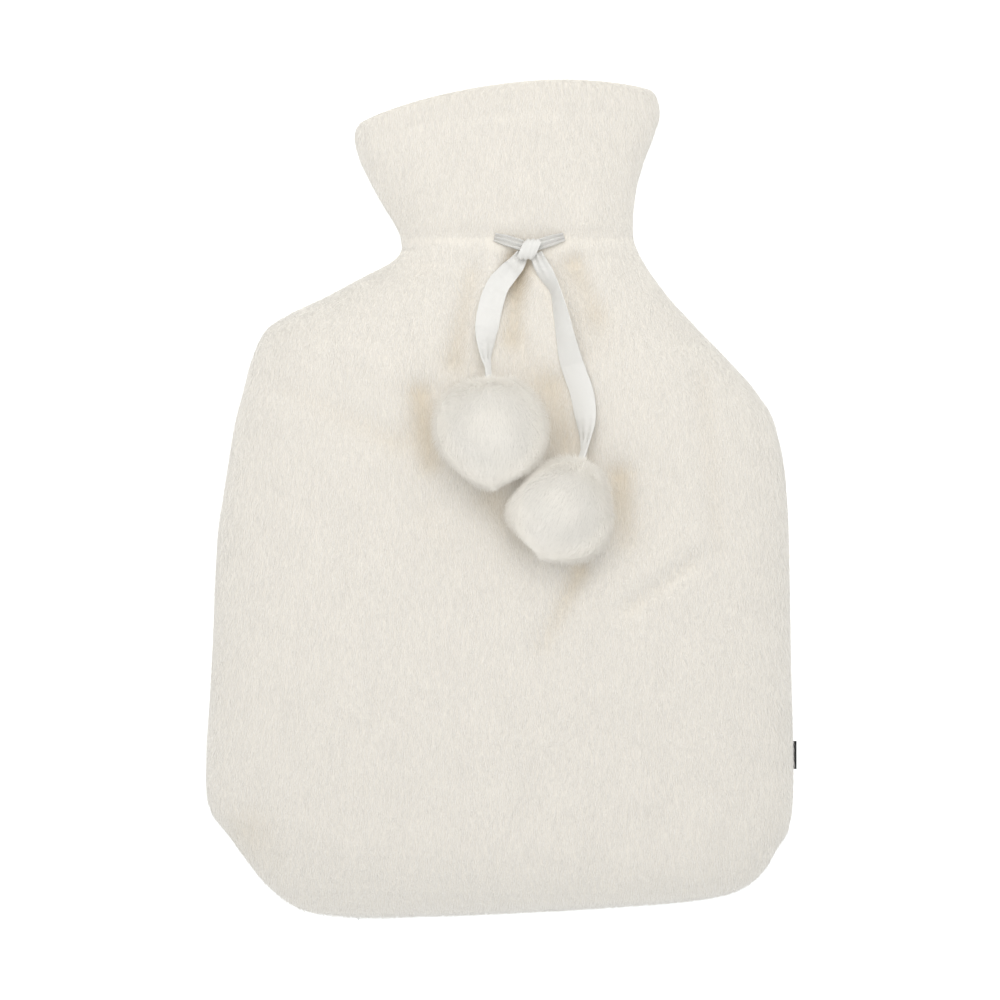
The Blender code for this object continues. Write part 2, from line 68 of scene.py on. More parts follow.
# The cover's shape, as its solids have it. Each row is a line across the cover. along is how far up the
# middle it lies from the bottom edge, then come its two ends, how far its middle bows towards the mouth,
# the seam's height, how far the front rises over the seam and the back drops below it, and how square
# the section is.
Section = namedtuple("Section", "name along left_x left_y right_x right_y bow seam front back square")
SECTIONS = [
    Section("bottom_edge", 0, -60, -175.7, 58, -170.3, -0.9, 21, 23.5, 23, 3.2),
    Section("corner_turn", 1.8, -81, -173.3, 80, -168.6, -1.1, 21, 23.5, 23, 3.2),
    Section("corner_low", 6.3, -92.5, -167, 93.5, -166.3, -1, 21, 23.6, 23, 3.2),
    Section("corner_in", 12.5, -101, -159, 103.5, -162.4, -0.7, 21, 23.7, 24, 3.2),
    Section("corner_cut", 20, -107.5, -150.5, 110.8, -156, -0.7, 21, 23.8, 24, 3.2),
    Section("corner_out", 30, -115, -140.3, 116.5, -146.4, -0.6, 21, 24, 24, 3.3),
    Section("corner_high", 38.5, -121.5, -131.8, 121, -139, 0, 21, 24.2, 25, 3.4),
    Section("corner_top", 48.9, -123.6, -124, 123, -126, 0, 21, 24.5, 25, 3.5),
    Section("low_side", 59, -123.9, -116.5, 123.2, -113.3, 0, 21, 24.8, 25, 3.6),
    Section("low_middle", 107, -121.4, -67, 122.2, -67, 0, 21, 25.8, 25, 3.7),
    Section("middle", 157, -119.1, -17, 121.3, -17, 0, 21, 26, 25, 3.7),
    Section("high_middle", 182, -115.6, 8, 120, 8, 0, 21, 26, 25, 3.7),
    Section("chest", 207, -111.5, 33, 115, 33, 0, 21, 25.8, 25, 3.6),
    Section("right_shoulder", 220, -108.1, 46, 107, 46, 0, 20.8, 25.5, 24, 3.5),
    Section("both_shoulders", 232.5, -104.8, 58.6, 95.9, 58.6, 0, 20.4, 24.8, 24, 3.3),
    Section("left_shoulder", 245, -99, 71.2, 83.6, 71.2, 0, 19.8, 23.4, 23, 3),
    Section("shoulder_turn", 251.4, -90, 77.5, 77.8, 77.5, 0, 19.4, 22.4, 22, 2.9),
    Section("shoulder_slope", 258.5, -75, 84.6, 71.3, 84.6, 0, 18.8, 21, 20, 2.8),
    Section("neck_flare", 268.6, -56.2, 94.7, 63.8, 94.7, 0, 18, 19, 18, 2.6),
    Section("neck_turn", 273.7, -46.4, 99.8, 60.6, 99.8, 0, 17.5, 18, 17, 2.5),
    Section("neck", 279, -41.8, 105.2, 57.9, 105, 0, 17.2, 17.4, 16.5, 2.5),
    Section("channel", 284, -42.3, 110, 56.2, 110.2, 0, 17, 17.2, 16.2, 2.5),
    Section("collar_foot", 291, -44.6, 115.2, 56.1, 117, 1, 17, 17.4, 16.5, 2.5),
    Section("collar_low", 303, -50.3, 124.5, 57.3, 129, 2.3, 17.2, 18, 17.5, 2.6),
    Section("collar", 316, -56, 135, 60.6, 141.5, 3.9, 17.5, 18.4, 18.5, 2.7),
    Section("collar_high", 329, -60.2, 144.5, 64.8, 152.5, 6.6, 17.8, 18.6, 19.5, 2.8),
    Section("hem", 338, -61.8, 152.2, 67.4, 162, 7, 18, 18.6, 20, 2.8),
    Section("mouth", 350, -58.8, 160.6, 65, 173.5, 8, 18, 18.4, 20, 2.8),
]
LENGTH = SECTIONS[-1].along
WALL = 7.0  # the cloth with its pile
HEM_WALL = 9.0
HEM_DEPTH = 15.0  # from the mouth's edge to the hem's stitching
HEM_GROOVE = 0.4
STITCH_HALF = 2.0
BOTTOM_ROLL = 36.0  # how far in from the bottom edge the cover comes to its full height
SEAM_LIP = 2.2  # the pile parts this far above and below the seam
SEAM_TUCK = 2.0  # and this far in
NECK_LINE = 284.0
NECK_CREASE = 1.0
CREASE_HALF = 3.5
COLLAR_WAVE = 1.4
WAVE_TURNS = 4.6
WAVE_START = 0.8
BOW_POWER = 2.2

# Soft folds of the front: troughs from start to end, or round dents where those meet. A negative depth
# is a ridge.
Fold = namedtuple("Fold", "name start_x start_y end_x end_y start_depth end_depth half_width")
DRAPES = [
    Fold("cinch_pinch", 7, 99, 5, 68, 6.2, 2, 6),
    Fold("pinch_run", 5, 66, 14, 52, 1.8, 1.2, 9),
    Fold("middle_gather", 24, 94, 34, 62, 1.6, 1.4, 11),
    Fold("right_gather", 31, 99, 41, 76.5, 2.6, 1, 5.5),
    Fold("right_gather_run", 41, 76.5, 52, 54, 1.4, 0.6, 8),
    Fold("left_gather", -12, 94, -19, 58, 2.6, 3, 6),
    Fold("left_shoulder_gather", -31, 97, -50, 68, 1.6, 0.2, 9),
    Fold("bed_left_edge", -33.5, 44, -29, 16, 3.8, 3, 6.5),
    Fold("bed_low_edge", -4, 1, 9, -15, 2, 1.4, 7),
    Fold("bed_right_edge", 49.5, 10, 52, -16, 3.6, 2.2, 7),
    Fold("bed_between", 22, 46, 27, 25, 2.8, 2.4, 8.5),
    Fold("low_crease", 33, -29, 18, -60, 3.4, 2.2, 5.5),
    Fold("left_dent", -31, -6, -14, -26, 1.5, 0.8, 9),
    Fold("left_drag", -88, 46, -44, 24, 1.4, 2.2, 8),
    Fold("right_crease", 79, -26, 52, -46, 2.6, 1.8, 5),
    Fold("right_ridge", 80, -20, 62, -32, -1.2, -0.8, 8),
    Fold("right_fall", 84, 50, 90, -20, 1.8, 1.8, 7),
    Fold("slack_corner", -104, -138, -96, -150, 2.4, 1.6, 16),
]
BEDS = [  # under the pompoms
    Fold("left_pompom_bed", -3.6, 27.8, -3.6, 27.8, 6, 6, 25),
    Fold("right_pompom_bed", 25.3, -4.4, 25.3, -4.4, 5.8, 5.8, 23),
]
LINING_SHARE = 0.5  # how much of a fold shows inside

# The woven back of the cloth, which the pile stands on
PILE_DEPTH = 0.45  # the cloth's face lies this far under the pile's tips
HEM_PILE_DEPTH = 0.6  # the same inside the hem, where it is pressed
RIM_RADIUS = (HEM_WALL - PILE_DEPTH - HEM_PILE_DEPTH) / 2
RIM_TURN = 0.96  # of the way that the two faces come together at the rim
LINE_SPACING = 2.6  # of the lines of points across the cloth
ROLL_LINES = 16  # over the bottom roll
RIM_LINES = [2.9, 2.1, 1.4, 0.8, 0.4, 0.1, 0.0]  # back from the cloth's edge at the mouth
FACE_COLUMNS = 92
COLUMN_CROWD = 1.5  # over 1 crowds the columns towards the sides
SLACK_DEPTH = 0.3  # of the front's own soft ripples
SLACK_LENGTHS = (14, 46)
RIPPLE_PEAK = 1.6  # deviations that count as a full ripple
RAY_STEP = 1.5  # of the grid on which the front's height is read
Panel = namedtuple("Panel", "name node side cut_area")
PANELS = [
    Panel("front_cloth", "front_panel", 1, 0.086),
    Panel("back_cloth", "back_panel", -1, 0.082),
]

# The pile, in small closed tufts. Angles from upright are in degrees.
TUFT_RIDGE = 0.35  # height of a tuft against half its width
TUFT_WIDTHS = (0.75, 1.25)  # of the width that is set
ROOT_SINK = 0.3  # of a tuft in the cloth
LEAST_HEIGHT = 0.15  # of a tip over the floor
NAP_WAY = (0.0, -1.0, -0.25)  # the way that the panels' pile lies
PATCH_SWIRL = 0.12  # how far patches of tufts turn from it, in radians
TUFT_SWIRL = 0.16  # and each tuft by itself
PILE_LEAN = 79.0
PATCH_LEAN = 1.5  # how far that differs over patches
LEAN_SPREAD = 3
LENGTH_SPREAD = 0.1
PRESSED_LEAN = 84  # where something lies on the pile
PRESSED_LOSS = 0.45  # of its length there
HEM_PRESSED = 0.55
RIBBON_PRESS = (3, 5)  # how far from the ribbon's middle the pile rises again
POMPOM_PRESS = (-9, -3)  # and from a pompom's edge
POMPOM_PRESSED = 0.9
EDGE_SLOPES = (0.15, 0.7)  # heights of the normal at the cover's sides
UNDER_SHARE = 0.25  # of the back's tufts on its flat, which lies down
EVEN_STEPS = (0.7548776662, 0.5698402910)  # steps that fill a square evenly
PLACE_JITTER = 0.08
PIECE_TRIANGLES = 190000

# The light on the pile and its colours
LIGHT_LIFT = 0.6  # how far fibres turn the light's way where the cloth faces sideways
LIFT_START = (-0.9, 0.1)  # heights of a normal over which that sets in
LIFT_END = (0.5, 0.96)  # and over which it ends
CLOTH_SHADING = 13  # how much of a tuft's shading is the cloth's, against its own as 1
ROOT_FADE = 0.6  # under 1 brings the tips' colour down towards the roots
PATCH_SIZE = 0.03
PATCH_TONE = 1.2  # how far a patch differs, against a single tuft
PLUSH_SPREAD = 0.022  # of the tufts' tones
POMPOM_SPREAD = 0.045
FLAT_START = 0.85  # where a tuft on the flat starts among the pile's colours, from its root to its tip
TONE_SLOPES = (0.3, 0.9)  # heights of the normal from an edge, where tufts take only the tips' lighter colour as painted light, to the flat
FOLD_SHADE_END = 0.15  # where a tuft in a deep fold ends among the pile's colours, so that it takes the roots' colour as painted shade
FOLD_SHADE_DEPTHS = (0.7, 6.8)  # of a fold, from where its painted shade sets in to where it is full, shown as the pile's darker roots
BED_SHADE_SHARE = 0.4  # how much a pompom's bed counts as a fold there, for painted shade round the pompoms
GROOVE_SHADE_SHARE = 1.6  # and the neck's channel and the hem's stitching, for painted shade along them
SHEEN_TINT = (0.88, 0.95, 1.0)
PILE_SHEEN = 0.3

# The satin ribbon. Its width narrows where it is gathered, roll turns it about its own run in degrees,
# and lift holds it off the plush.
SOLID_THICK = 1.0  # of the ribbon in the solids, which this one runs through the middle of
RIBBON_THICK = 0.35
RIBBON_SINK = 0.8  # into the pile
RIBBON_COLUMNS = 10
RIM_ANGLE = 0.9  # past which an edge shows as the ribbon's rim
RIBBON_STEP = 0.08  # of the way from one bend to the next
FOOT_SPREAD = 2.0
END_LINES = 8  # across the stretch that runs into a pompom
END_WIDTH = 3.4
END_REACH = 0.66  # of the pompom's radius, from its middle
CROWN = 0.5  # how far its middle stands out
GATHER_DEPTH = 1.3  # of its pleats where it is gathered
Bend = namedtuple("Bend", "x y width roll lift")
LEFT_TAIL = [
    Bend(9.2, 102.4, 5, 0, 2.4),
    Bend(6.8, 98.4, 7.4, 12, 1.4),
    Bend(2.8, 93.8, 9.4, 22, 0.6),
    Bend(-1.2, 88.6, 10, 18, 0.3),
    Bend(-3.6, 82, 10, 2, 0.3),
    Bend(-5.2, 74.6, 10, -4, 0.4),
    Bend(-6, 67, 9.6, -32, 0.8),
    Bend(-6, 60.2, 8, -52, 1.4),
    Bend(-5.3, 54.4, 5.4, -68, 3.2),
]
RIGHT_TAIL = [
    Bend(14.8, 102.4, 5, 0, 2.4),
    Bend(16.4, 98.4, 7, 30, 1.4),
    Bend(18.9, 93.6, 9.2, 48, 0.6),
    Bend(22.6, 86.4, 10, 66, 0.3),
    Bend(25.2, 75.4, 10, 52, 0.3),
    Bend(26.8, 67.2, 10, 42, 0.4),
    Bend(28.6, 59.2, 10, 26, 0.4),
    Bend(31, 51.8, 10, 18, 0.4),
    Bend(33.6, 44.2, 10, 16, 0.4),
    Bend(34.8, 37.2, 9.8, 20, 0.5),
    Bend(35.2, 31.4, 9, 34, 0.9),
    Bend(35, 25.6, 7.4, 52, 1.8),
    Bend(34.6, 20.2, 5.2, 66, 3.8),
]
LEFT_WING = [Bend(9, 105.8, 4.6, 0, 2.4), Bend(3.6, 107.6, 4.6, 0, 1.2), Bend(-2.5, 109.4, 3.6, 0, 0.5)]
RIGHT_WING = [Bend(15, 105.8, 4.6, 0, 2.4), Bend(20.4, 107.6, 4.6, 0, 1.2), Bend(26.5, 109.6, 3.6, 0, 0.5)]
FULL_WIDTH = 10.0
KNOT_X, KNOT_Y = 12.0, 104.0
KNOT_SIZE = (12.0, 8.6, 5.0)
KNOT_LENGTH = 0.62  # of its band along X, against that size
KNOT_SLANT = 0.35
KNOT_PLEAT = 0.07
KNOT_TAPER = 0.22
TAPE_THICK = 0.22  # of the side tab
TAPE_INSET = 0.12  # of its middle from the solid's faces

# Pompoms: where the ribbon goes in, from the middle, and how deep it draws the plush in there
Pompom = namedtuple("Pompom", "name node tie_x tie_y tie_drop notch seed")
POMPOMS = [
    Pompom("left_pompom", "pompom_left", -0.4, 21, 6.5, 2.2, 11),
    Pompom("right_pompom", "pompom_right", 8.7, 18.8, 5.4, 1.5, 12),
]
POMPOM_CUTS = 27
POMPOM_DEPTH = 2.2  # its cloth's face lies this far under the pile's tips
POMPOM_RIPPLE = 0.35
PLACE_SPREAD = 0.4  # of its tufts' places, against the room for each
NOTCH_WIDTH = 0.30
PLEATS = 11
GOLDEN_TURN = math.pi * (3 - math.sqrt(5))
POMPOM_LIFT = 0.85
POMPOM_FLAT = 0.84  # of its height over its middle, as it sags
PLEAT_DEPTH = 0.6
PLEATS_AT = 0.5  # from the ribbon, as an angle
PLEATS_HALF = 0.28
PLANE_GAP = 0.63  # of its cloth from the plane between the two
CLOTH_STAND = 1.07  # of its cloth over the panel's pile
UNSEEN_SHARE = 0.35  # of its tufts on the lower side
POMPOM_LEAN = 50  # of its tufts round its middle
TOP_LEAN = 20  # more than that at the top
LOW_LEAN = 26  # and on the lower side
POMPOM_SWIRL = 0.2  # how far each tuft turns by itself, in radians
POMPOM_LEAN_SPREAD = 4
POMPOM_LENGTH_SPREAD = 0.12
TIPS_MINGLE = 1.8  # how far the pile reaches past the plane between the two
TIPS_SINK = 0.4  # and into the panel's pile

# Where a pompom is fuller or flatter than a ball. turn is in degrees from +X, seen from the front.
Swell = namedtuple("Swell", "turn height spread")
SWELLS = {
    "pompom_left": [
        Swell(150, 2.2, 0.55),
        Swell(52, 1.4, 0.50),
        Swell(-132, -2.9, 0.38),
        Swell(-60, -2.7, 0.38),
        Swell(-92, 0.9, 0.20),
    ],
    "pompom_right": [
        Swell(62, 2.6, 0.50),
        Swell(130, -3, 0.48),
        Swell(180, 1.2, 0.30),
        Swell(-135, -2.9, 0.42),
        Swell(-42, 2, 0.60),
    ],
}

CACHE = {}  # what one piece leaves for the next


# --- Shapes in numbers ---


def unit(vectors):
    return vectors / np.maximum(np.linalg.norm(vectors, axis=-1, keepdims=True), 1e-9)


def smooth_step(low, high, value):
    """0 below low, 1 above high, and a soft slope between them."""
    share = np.clip((value - low) / (high - low), 0.0, 1.0)
    return share * share * (3 - 2 * share)


def eased(keys, values, at):
    """Values between a table's rows, on a smooth curve that never passes beyond two neighbours."""
    keys, values = np.asarray(keys, float), np.asarray(values, float)
    at = np.clip(at, keys[0], keys[-1])
    spans = np.diff(keys)
    rates = np.diff(values) / spans
    product, total = rates[:-1] * rates[1:], rates[:-1] + rates[1:]
    inner = np.where(product > 0, 2 * product / np.where(product > 0, total, 1.0), 0.0)
    slopes = np.concatenate([rates[:1], inner, rates[-1:]])
    i = np.clip(np.searchsorted(keys, at, side="right") - 1, 0, len(spans) - 1)
    t = (at - keys[i]) / spans[i]
    start = values[i] + slopes[i] * spans[i] * t * (1 - t)
    end = values[i + 1] - slopes[i + 1] * spans[i] * t * (1 - t)
    blend = t * t * (3 - 2 * t)
    return start * (1 - blend) + end * blend


def eased_rows(rows, keys, at):
    """A table's rows at places between its own, as a namedtuple of arrays."""
    fields = [
        None if isinstance(rows[0][i], str) else eased(keys, [row[i] for row in rows], at)
        for i in range(len(rows[0]))
    ]
    return type(rows[0])(*fields)


def ripples(points, shortest, longest, seed, waves=14):
    """A soft uneven field from -1 to 1 or so over points' first two numbers."""
    rng = np.random.default_rng(seed)
    total = np.zeros(points.shape[:-1])
    for _ in range(waves):
        length = rng.uniform(shortest, longest)
        turn = rng.uniform(0, 2 * math.pi)
        run = points[..., 0] * math.cos(turn) + points[..., 1] * math.sin(turn)
        total += np.sin(run * 2 * math.pi / length + rng.uniform(0, 2 * math.pi))
    return total / math.sqrt(waves / 2) / RIPPLE_PEAK


def bilinear(grid, line, column, u, v):
    """Values inside a grid's cells."""
    near = grid[line, column] * (1 - u) + grid[line, column + 1] * u
    far = grid[line + 1, column] * (1 - u) + grid[line + 1, column + 1] * u
    return near * (1 - v) + far * v


def fold_depth(points, folds):
    """How deep folds are at points of the front."""
    total = np.zeros(points.shape[:-1])
    for fold in folds:
        start = np.array((fold.start_x, fold.start_y))
        run = np.array((fold.end_x, fold.end_y)) - start
        share = np.clip(((points - start) @ run) / max(run @ run, 1e-6), 0.0, 1.0)
        apart = np.linalg.norm(points - start - share[..., None] * run, axis=-1) / fold.half_width
        total += (fold.start_depth + (fold.end_depth - fold.start_depth) * share) * np.exp(-apart * apart)
    return total


def fold_shade_share(points, groove=0.0):
    """How much painted shade a point gets: 1 in the deepest folds, where the pile is coloured as if parted
    down to its darker roots, and 0 outside them. The pompoms' beds and the grooves count too.
    """
    drapes, beds = (fold_depth(points[..., :2], folds) for folds in (DRAPES, BEDS))
    return smooth_step(*FOLD_SHADE_DEPTHS, drapes + GROOVE_SHADE_SHARE * groove + BED_SHADE_SHARE * beds)


def groove_at(along):
    """The depth of the neck's channel and of the hem's stitching."""
    neck = NECK_CREASE * np.exp(-(((along - NECK_LINE) / CREASE_HALF) ** 2))
    return neck + HEM_GROOVE * np.exp(-(((along - LENGTH + HEM_DEPTH) / STITCH_HALF) ** 2))


def line_places():
    """How far up the cover each line of the cloth's faces lies."""
    roll = BOTTOM_ROLL * (1 - np.cos(np.linspace(0, math.pi / 2, ROLL_LINES + 1)))
    top = LENGTH - PILE_DEPTH - RIM_LINES[0]
    count = round((top - BOTTOM_ROLL) / LINE_SPACING)
    rim = [LENGTH - PILE_DEPTH - back for back in RIM_LINES]
    return np.concatenate([roll, np.linspace(BOTTOM_ROLL, top, count + 1)[1:-1], rim])


def face_inset(along, is_lining):
    """How far under the pile's tips a face of the cloth lies, out from the mouth's edge too."""
    share = np.clip(1 - (LENGTH - PILE_DEPTH - along) / RIM_RADIUS, 0.0, 1.0)
    turn = RIM_TURN * RIM_RADIUS * (1 - np.sqrt(1 - share * share))
    if not is_lining:
        return PILE_DEPTH + turn
    hem = smooth_step(LENGTH - HEM_DEPTH - 3, LENGTH - HEM_DEPTH + 1, along)
    return WALL + (HEM_WALL - HEM_PILE_DEPTH - WALL) * hem - turn


def flat_face(along, s, set_in):
    """A face's points seen from the front, on lines between the cover's sides, and its rows there."""
    keys = [row.along for row in SECTIONS]
    row, below, above = (eased_rows(SECTIONS, keys, along + step) for step in (0.0, -0.5, 0.5))
    ends = []
    for x, y, out in (("left_x", "left_y", 1), ("right_x", "right_y", -1)):
        run = [getattr(above, x) - getattr(below, x), getattr(above, y) - getattr(below, y)]
        run = unit(np.stack(run, axis=-1))
        off = out * np.stack([run[:, 1], -run[:, 0]], axis=-1)
        end = np.stack([getattr(row, x), getattr(row, y)], axis=-1)
        ends.append(end[:, None, :] + set_in[..., None] * off[:, None, :])
    share = ((1 + s) / 2)[None, :, None]
    points = ends[0] * (1 - share) + ends[1] * share
    points[..., 1] += row.bow[:, None] * (1 - np.abs(s) ** BOW_POWER)
    return row, points


def front_folds(points, along, s, is_lining):
    """How deep the front's folds, grooves and ripples are at a face's points."""
    over = smooth_step(NECK_LINE, LENGTH, along)[:, None]
    wave = COLLAR_WAVE * np.sin(WAVE_TURNS * s + WAVE_START) * over
    folds = fold_depth(points, DRAPES + BEDS)
    if is_lining:
        return LINING_SHARE * folds - wave
    return folds + groove_at(along)[:, None] - wave + SLACK_DEPTH * ripples(points, *SLACK_LENGTHS, 5)


def cloth_face(side, is_lining):
    """One face of a panel's cloth as lines of points, with its outer ring in the seam."""
    along = line_places()
    along = np.concatenate([along[:1], along])
    flat = np.linspace(-1, 1, FACE_COLUMNS + 1)
    s = np.sign(flat) * (1 - (1 - np.abs(flat)) ** COLUMN_CROWD)
    s = np.concatenate([s[:1], s, s[-1:]])
    in_seam = np.zeros((len(along), len(s)), bool)
    in_seam[0] = in_seam[:, 0] = in_seam[:, -1] = True
    inset = face_inset(along, is_lining)[:, None]
    row, points = flat_face(along, s, inset + in_seam * (0.0 if is_lining else SEAM_TUCK))

    rolled = np.minimum(along / BOTTOM_ROLL, 1.0)
    fill = np.sqrt(rolled * (2 - rolled))[:, None]
    full = fill * np.sqrt(np.maximum(0.0, 1 - np.abs(s)[None, :] ** row.square[:, None]))
    seam = row.seam[:, None]
    if side < 0:
        groove = 0.0 if is_lining else groove_at(along)[:, None]
        drop = seam - SEAM_LIP - (row.back[:, None] - SEAM_LIP - inset) * full
        height = np.maximum(inset + groove, drop)
    else:
        rise = (row.front[:, None] - SEAM_LIP - inset) * full
        height = seam + SEAM_LIP + rise - front_folds(points, along, s, is_lining) * (1 - s**4) * fill
    height = np.where(in_seam, seam + side * GAP / 2, height)
    return np.concatenate([points, height[..., None]], axis=-1)


# --- Meshes ---


def add_grid(bm, points, material=0):
    """Adds an open grid of points, laid out line by line, with its own UV map."""
    lines, columns = points.shape[:2]
    uv = bm.loops.layers.uv.verify()
    made = bmesh.ops.create_grid(bm, x_segments=columns - 1, y_segments=lines - 1, size=1)
    spots = {}
    for vert in made["verts"]:
        spot = (vert.co.x + 1) / 2, (vert.co.y + 1) / 2
        spots[vert] = spot
        vert.co = points[round(spot[1] * (lines - 1)), round(spot[0] * (columns - 1))]
    faces = {face for vert in made["verts"] for face in vert.link_faces}
    for face in faces:
        face.smooth = True
        face.material_index = material
        for loop in face.loops:
            loop[uv].uv = spots[loop.vert]
    return made["verts"]


def mesh_of(name, bm):
    mesh = bpy.data.meshes.new(name)
    bm.to_mesh(mesh)
    bm.free()
    return mesh


def add_object(name, data):
    obj = bpy.data.objects.new(name, data)
    bpy.context.scene.collection.objects.link(obj)
    return obj


def add_piece(name, mesh, materials):
    for material in materials:
        mesh.materials.append(material)
    obj = add_object(name, mesh)
    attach(obj, "root")
    return obj


def finish_mesh(name, bm, materials):
    """Makes a riding piece of a mesh laid out in millimetres."""
    bmesh.ops.scale(bm, vec=(MM, MM, MM), verts=bm.verts[:])
    return add_piece(name, mesh_of(name, bm), materials)


def lit_side(normals, lift):
    """Normals turned up where the surface faces sideways, as loose fibres there pass the light on."""
    share = lift * smooth_step(*LIFT_START, normals[:, 2]) * (1 - smooth_step(*LIFT_END, normals[:, 2]))
    return unit(normals * (1 - share[:, None]) + share[:, None] * np.array(UP))


def tone_ends(normals, recess):
    """How far up the pile's own colours each tuft starts and ends.

    At an edge a tuft takes only the tips' lighter colour: only tips show there, and the lighter colour also
    stands for light passing through them. In a fold it takes the roots' darker, warmer colour as painted
    shade.
    """
    edge = 1 - smooth_step(*TONE_SLOPES, np.abs(normals[:, 2]))
    start = FLAT_START + (1 - FLAT_START) * edge
    return start * (1 - recess), 1 - (1 - FOLD_SHADE_END) * recess


def tuft_piece(name, roots, normals, ways, widths, seed, material, recess=0.0, lift=LIGHT_LIFT):
    """A mesh of many small closed tufts, each from its root along its way, shaded as the cloth it stands on.

    The UV map's height is the place among the pile's colours, and a number of each tuft's own lies across it.
    """
    rng = np.random.default_rng(seed)
    count = len(roots)
    run = unit(ways)
    side = unit(np.cross(run, normals))
    up = np.cross(side, run)
    half = widths[:, None] / 2
    base = roots - normals * ROOT_SINK
    corners = [base - side * half, base + side * half, base + up * half * TUFT_RIDGE, roots + ways]
    verts = np.stack(corners, axis=1).reshape(-1, 3) * MM
    faces = np.array([[0, 2, 3], [2, 1, 3], [1, 0, 3], [0, 1, 2]])
    faces = (faces[None] + 4 * np.arange(count)[:, None, None]).reshape(-1, 3)

    mesh = bpy.data.meshes.new(name)
    mesh.vertices.add(len(verts))
    mesh.vertices.foreach_set("co", verts.ravel())
    mesh.loops.add(faces.size)
    mesh.loops.foreach_set("vertex_index", faces.ravel())
    mesh.polygons.add(len(faces))
    mesh.polygons.foreach_set("loop_start", np.arange(0, faces.size, 3))
    mesh.update(calc_edges=True)
    uv = mesh.uv_layers.new(name="tuft")
    across = np.repeat(rng.random(count), 12)
    # a tuft in a fold is coloured towards its roots as painted shade, and one at an edge takes only its tips'
    # colour
    start, end = (np.repeat(level, 12) for level in tone_ends(normals, recess + np.zeros(count)))
    along = np.where(faces.ravel() % 4 == 3, end, start)
    uv.data.foreach_set("uv", np.stack([across, along], axis=-1).ravel())
    facing = lit_side(normals, lift) * CLOTH_SHADING
    lean = [facing - side, facing + side, facing + up, facing + up * 0.6]
    shading = unit(np.stack(lean, axis=1).reshape(-1, 3))
    mesh.normals_split_custom_set_from_vertices(shading)
    obj = add_piece(name, mesh, [material])
    obj.visible_shadow = False  # loose fibres pass light on
    return obj


def box_of(node):
    """The low and the high corner of a CAD node's box."""
    return [np.array(corner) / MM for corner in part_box(node)]


def node_tree_of(name):
    """The tree of a CAD node's surface, in millimetres."""
    obj = bpy.data.objects[name]
    verts = [obj.matrix_world @ v.co / MM for v in obj.data.vertices]
    return BVHTree.FromPolygons(verts, [tuple(p.vertices) for p in obj.data.polygons])


def height_over(tree, x, y):
    """The height of the front under a point, or the surface that the cover lies on."""
    hit = tree.ray_cast(Vector((x, y, 500)), -UP)[0]
    return hit.z if hit else 0.0


def front_heights(points):
    """The front's height under many points, read off a grid of rays."""
    low, high = box_of("front_panel")
    if "heights" not in CACHE:
        tree = node_tree_of("front_panel")
        xs, ys = (np.arange(low[i], high[i], RAY_STEP) for i in (0, 1))
        CACHE["heights"] = np.array([[height_over(tree, x, y) for x in xs] for y in ys])
    grid = CACHE["heights"]
    last = np.array(grid.shape[::-1]) - 1.001
    spots = np.clip((points[:, :2] - low[:2]) / RAY_STEP, 0, last)
    column, line = spots.astype(int).T
    return bilinear(grid, line, column, spots[:, 0] - column, spots[:, 1] - line)


# --- Materials ---


def new_group(name, inputs, outputs):
    """A shader node group with its sockets and their defaults, and its two end nodes."""
    tree = bpy.data.node_groups.new(name, "ShaderNodeTree")
    for way, sockets in (("INPUT", inputs), ("OUTPUT", outputs)):
        for label, value in sockets.items():
            kind = "NodeSocketFloat" if isinstance(value, float) else "NodeSocketColor"
            socket = tree.interface.new_socket(name=label, in_out=way, socket_type=kind)
            socket.default_value = value
    return tree, tree.nodes.new("NodeGroupInput"), tree.nodes.new("NodeGroupOutput")


def set_inputs(tree, node, values):
    """Links a node's inputs to the sockets given for them, and sets those given plain values."""
    for key, value in values.items():
        if isinstance(value, bpy.types.NodeSocket):
            tree.links.new(value, node.inputs[key])
        else:
            node.inputs[key].default_value = value


def add_node(tree, kind, inputs=(), **settings):
    node = tree.nodes.new(kind)
    for name, value in settings.items():
        setattr(node, name, value)
    set_inputs(tree, node, dict(inputs))
    return node


def math_node(tree, operation, *values):
    return add_node(tree, "ShaderNodeMath", dict(enumerate(values)), operation=operation).outputs[0]


def noise_over(tree, place, size, detail):
    """Noise whose lumps have a size."""
    scale = math_node(tree, "DIVIDE", 1.0, size)
    noise = add_node(tree, "ShaderNodeTexNoise", {"Vector": place, "Scale": scale, "Detail": detail})
    return noise.outputs["Fac"]


def mixed(tree, share, first, second):
    """A colour between two."""
    slots = {0: share, 6: first, 7: second}  # a Mix node has others for numbers and vectors
    return add_node(tree, "ShaderNodeMix", slots, data_type="RGBA").outputs[2]


def toned(tree, colour, tone):
    """A colour times a tone."""
    values = {0: colour, "Scale": tone}
    return add_node(tree, "ShaderNodeVectorMath", values, operation="SCALE").outputs[0]


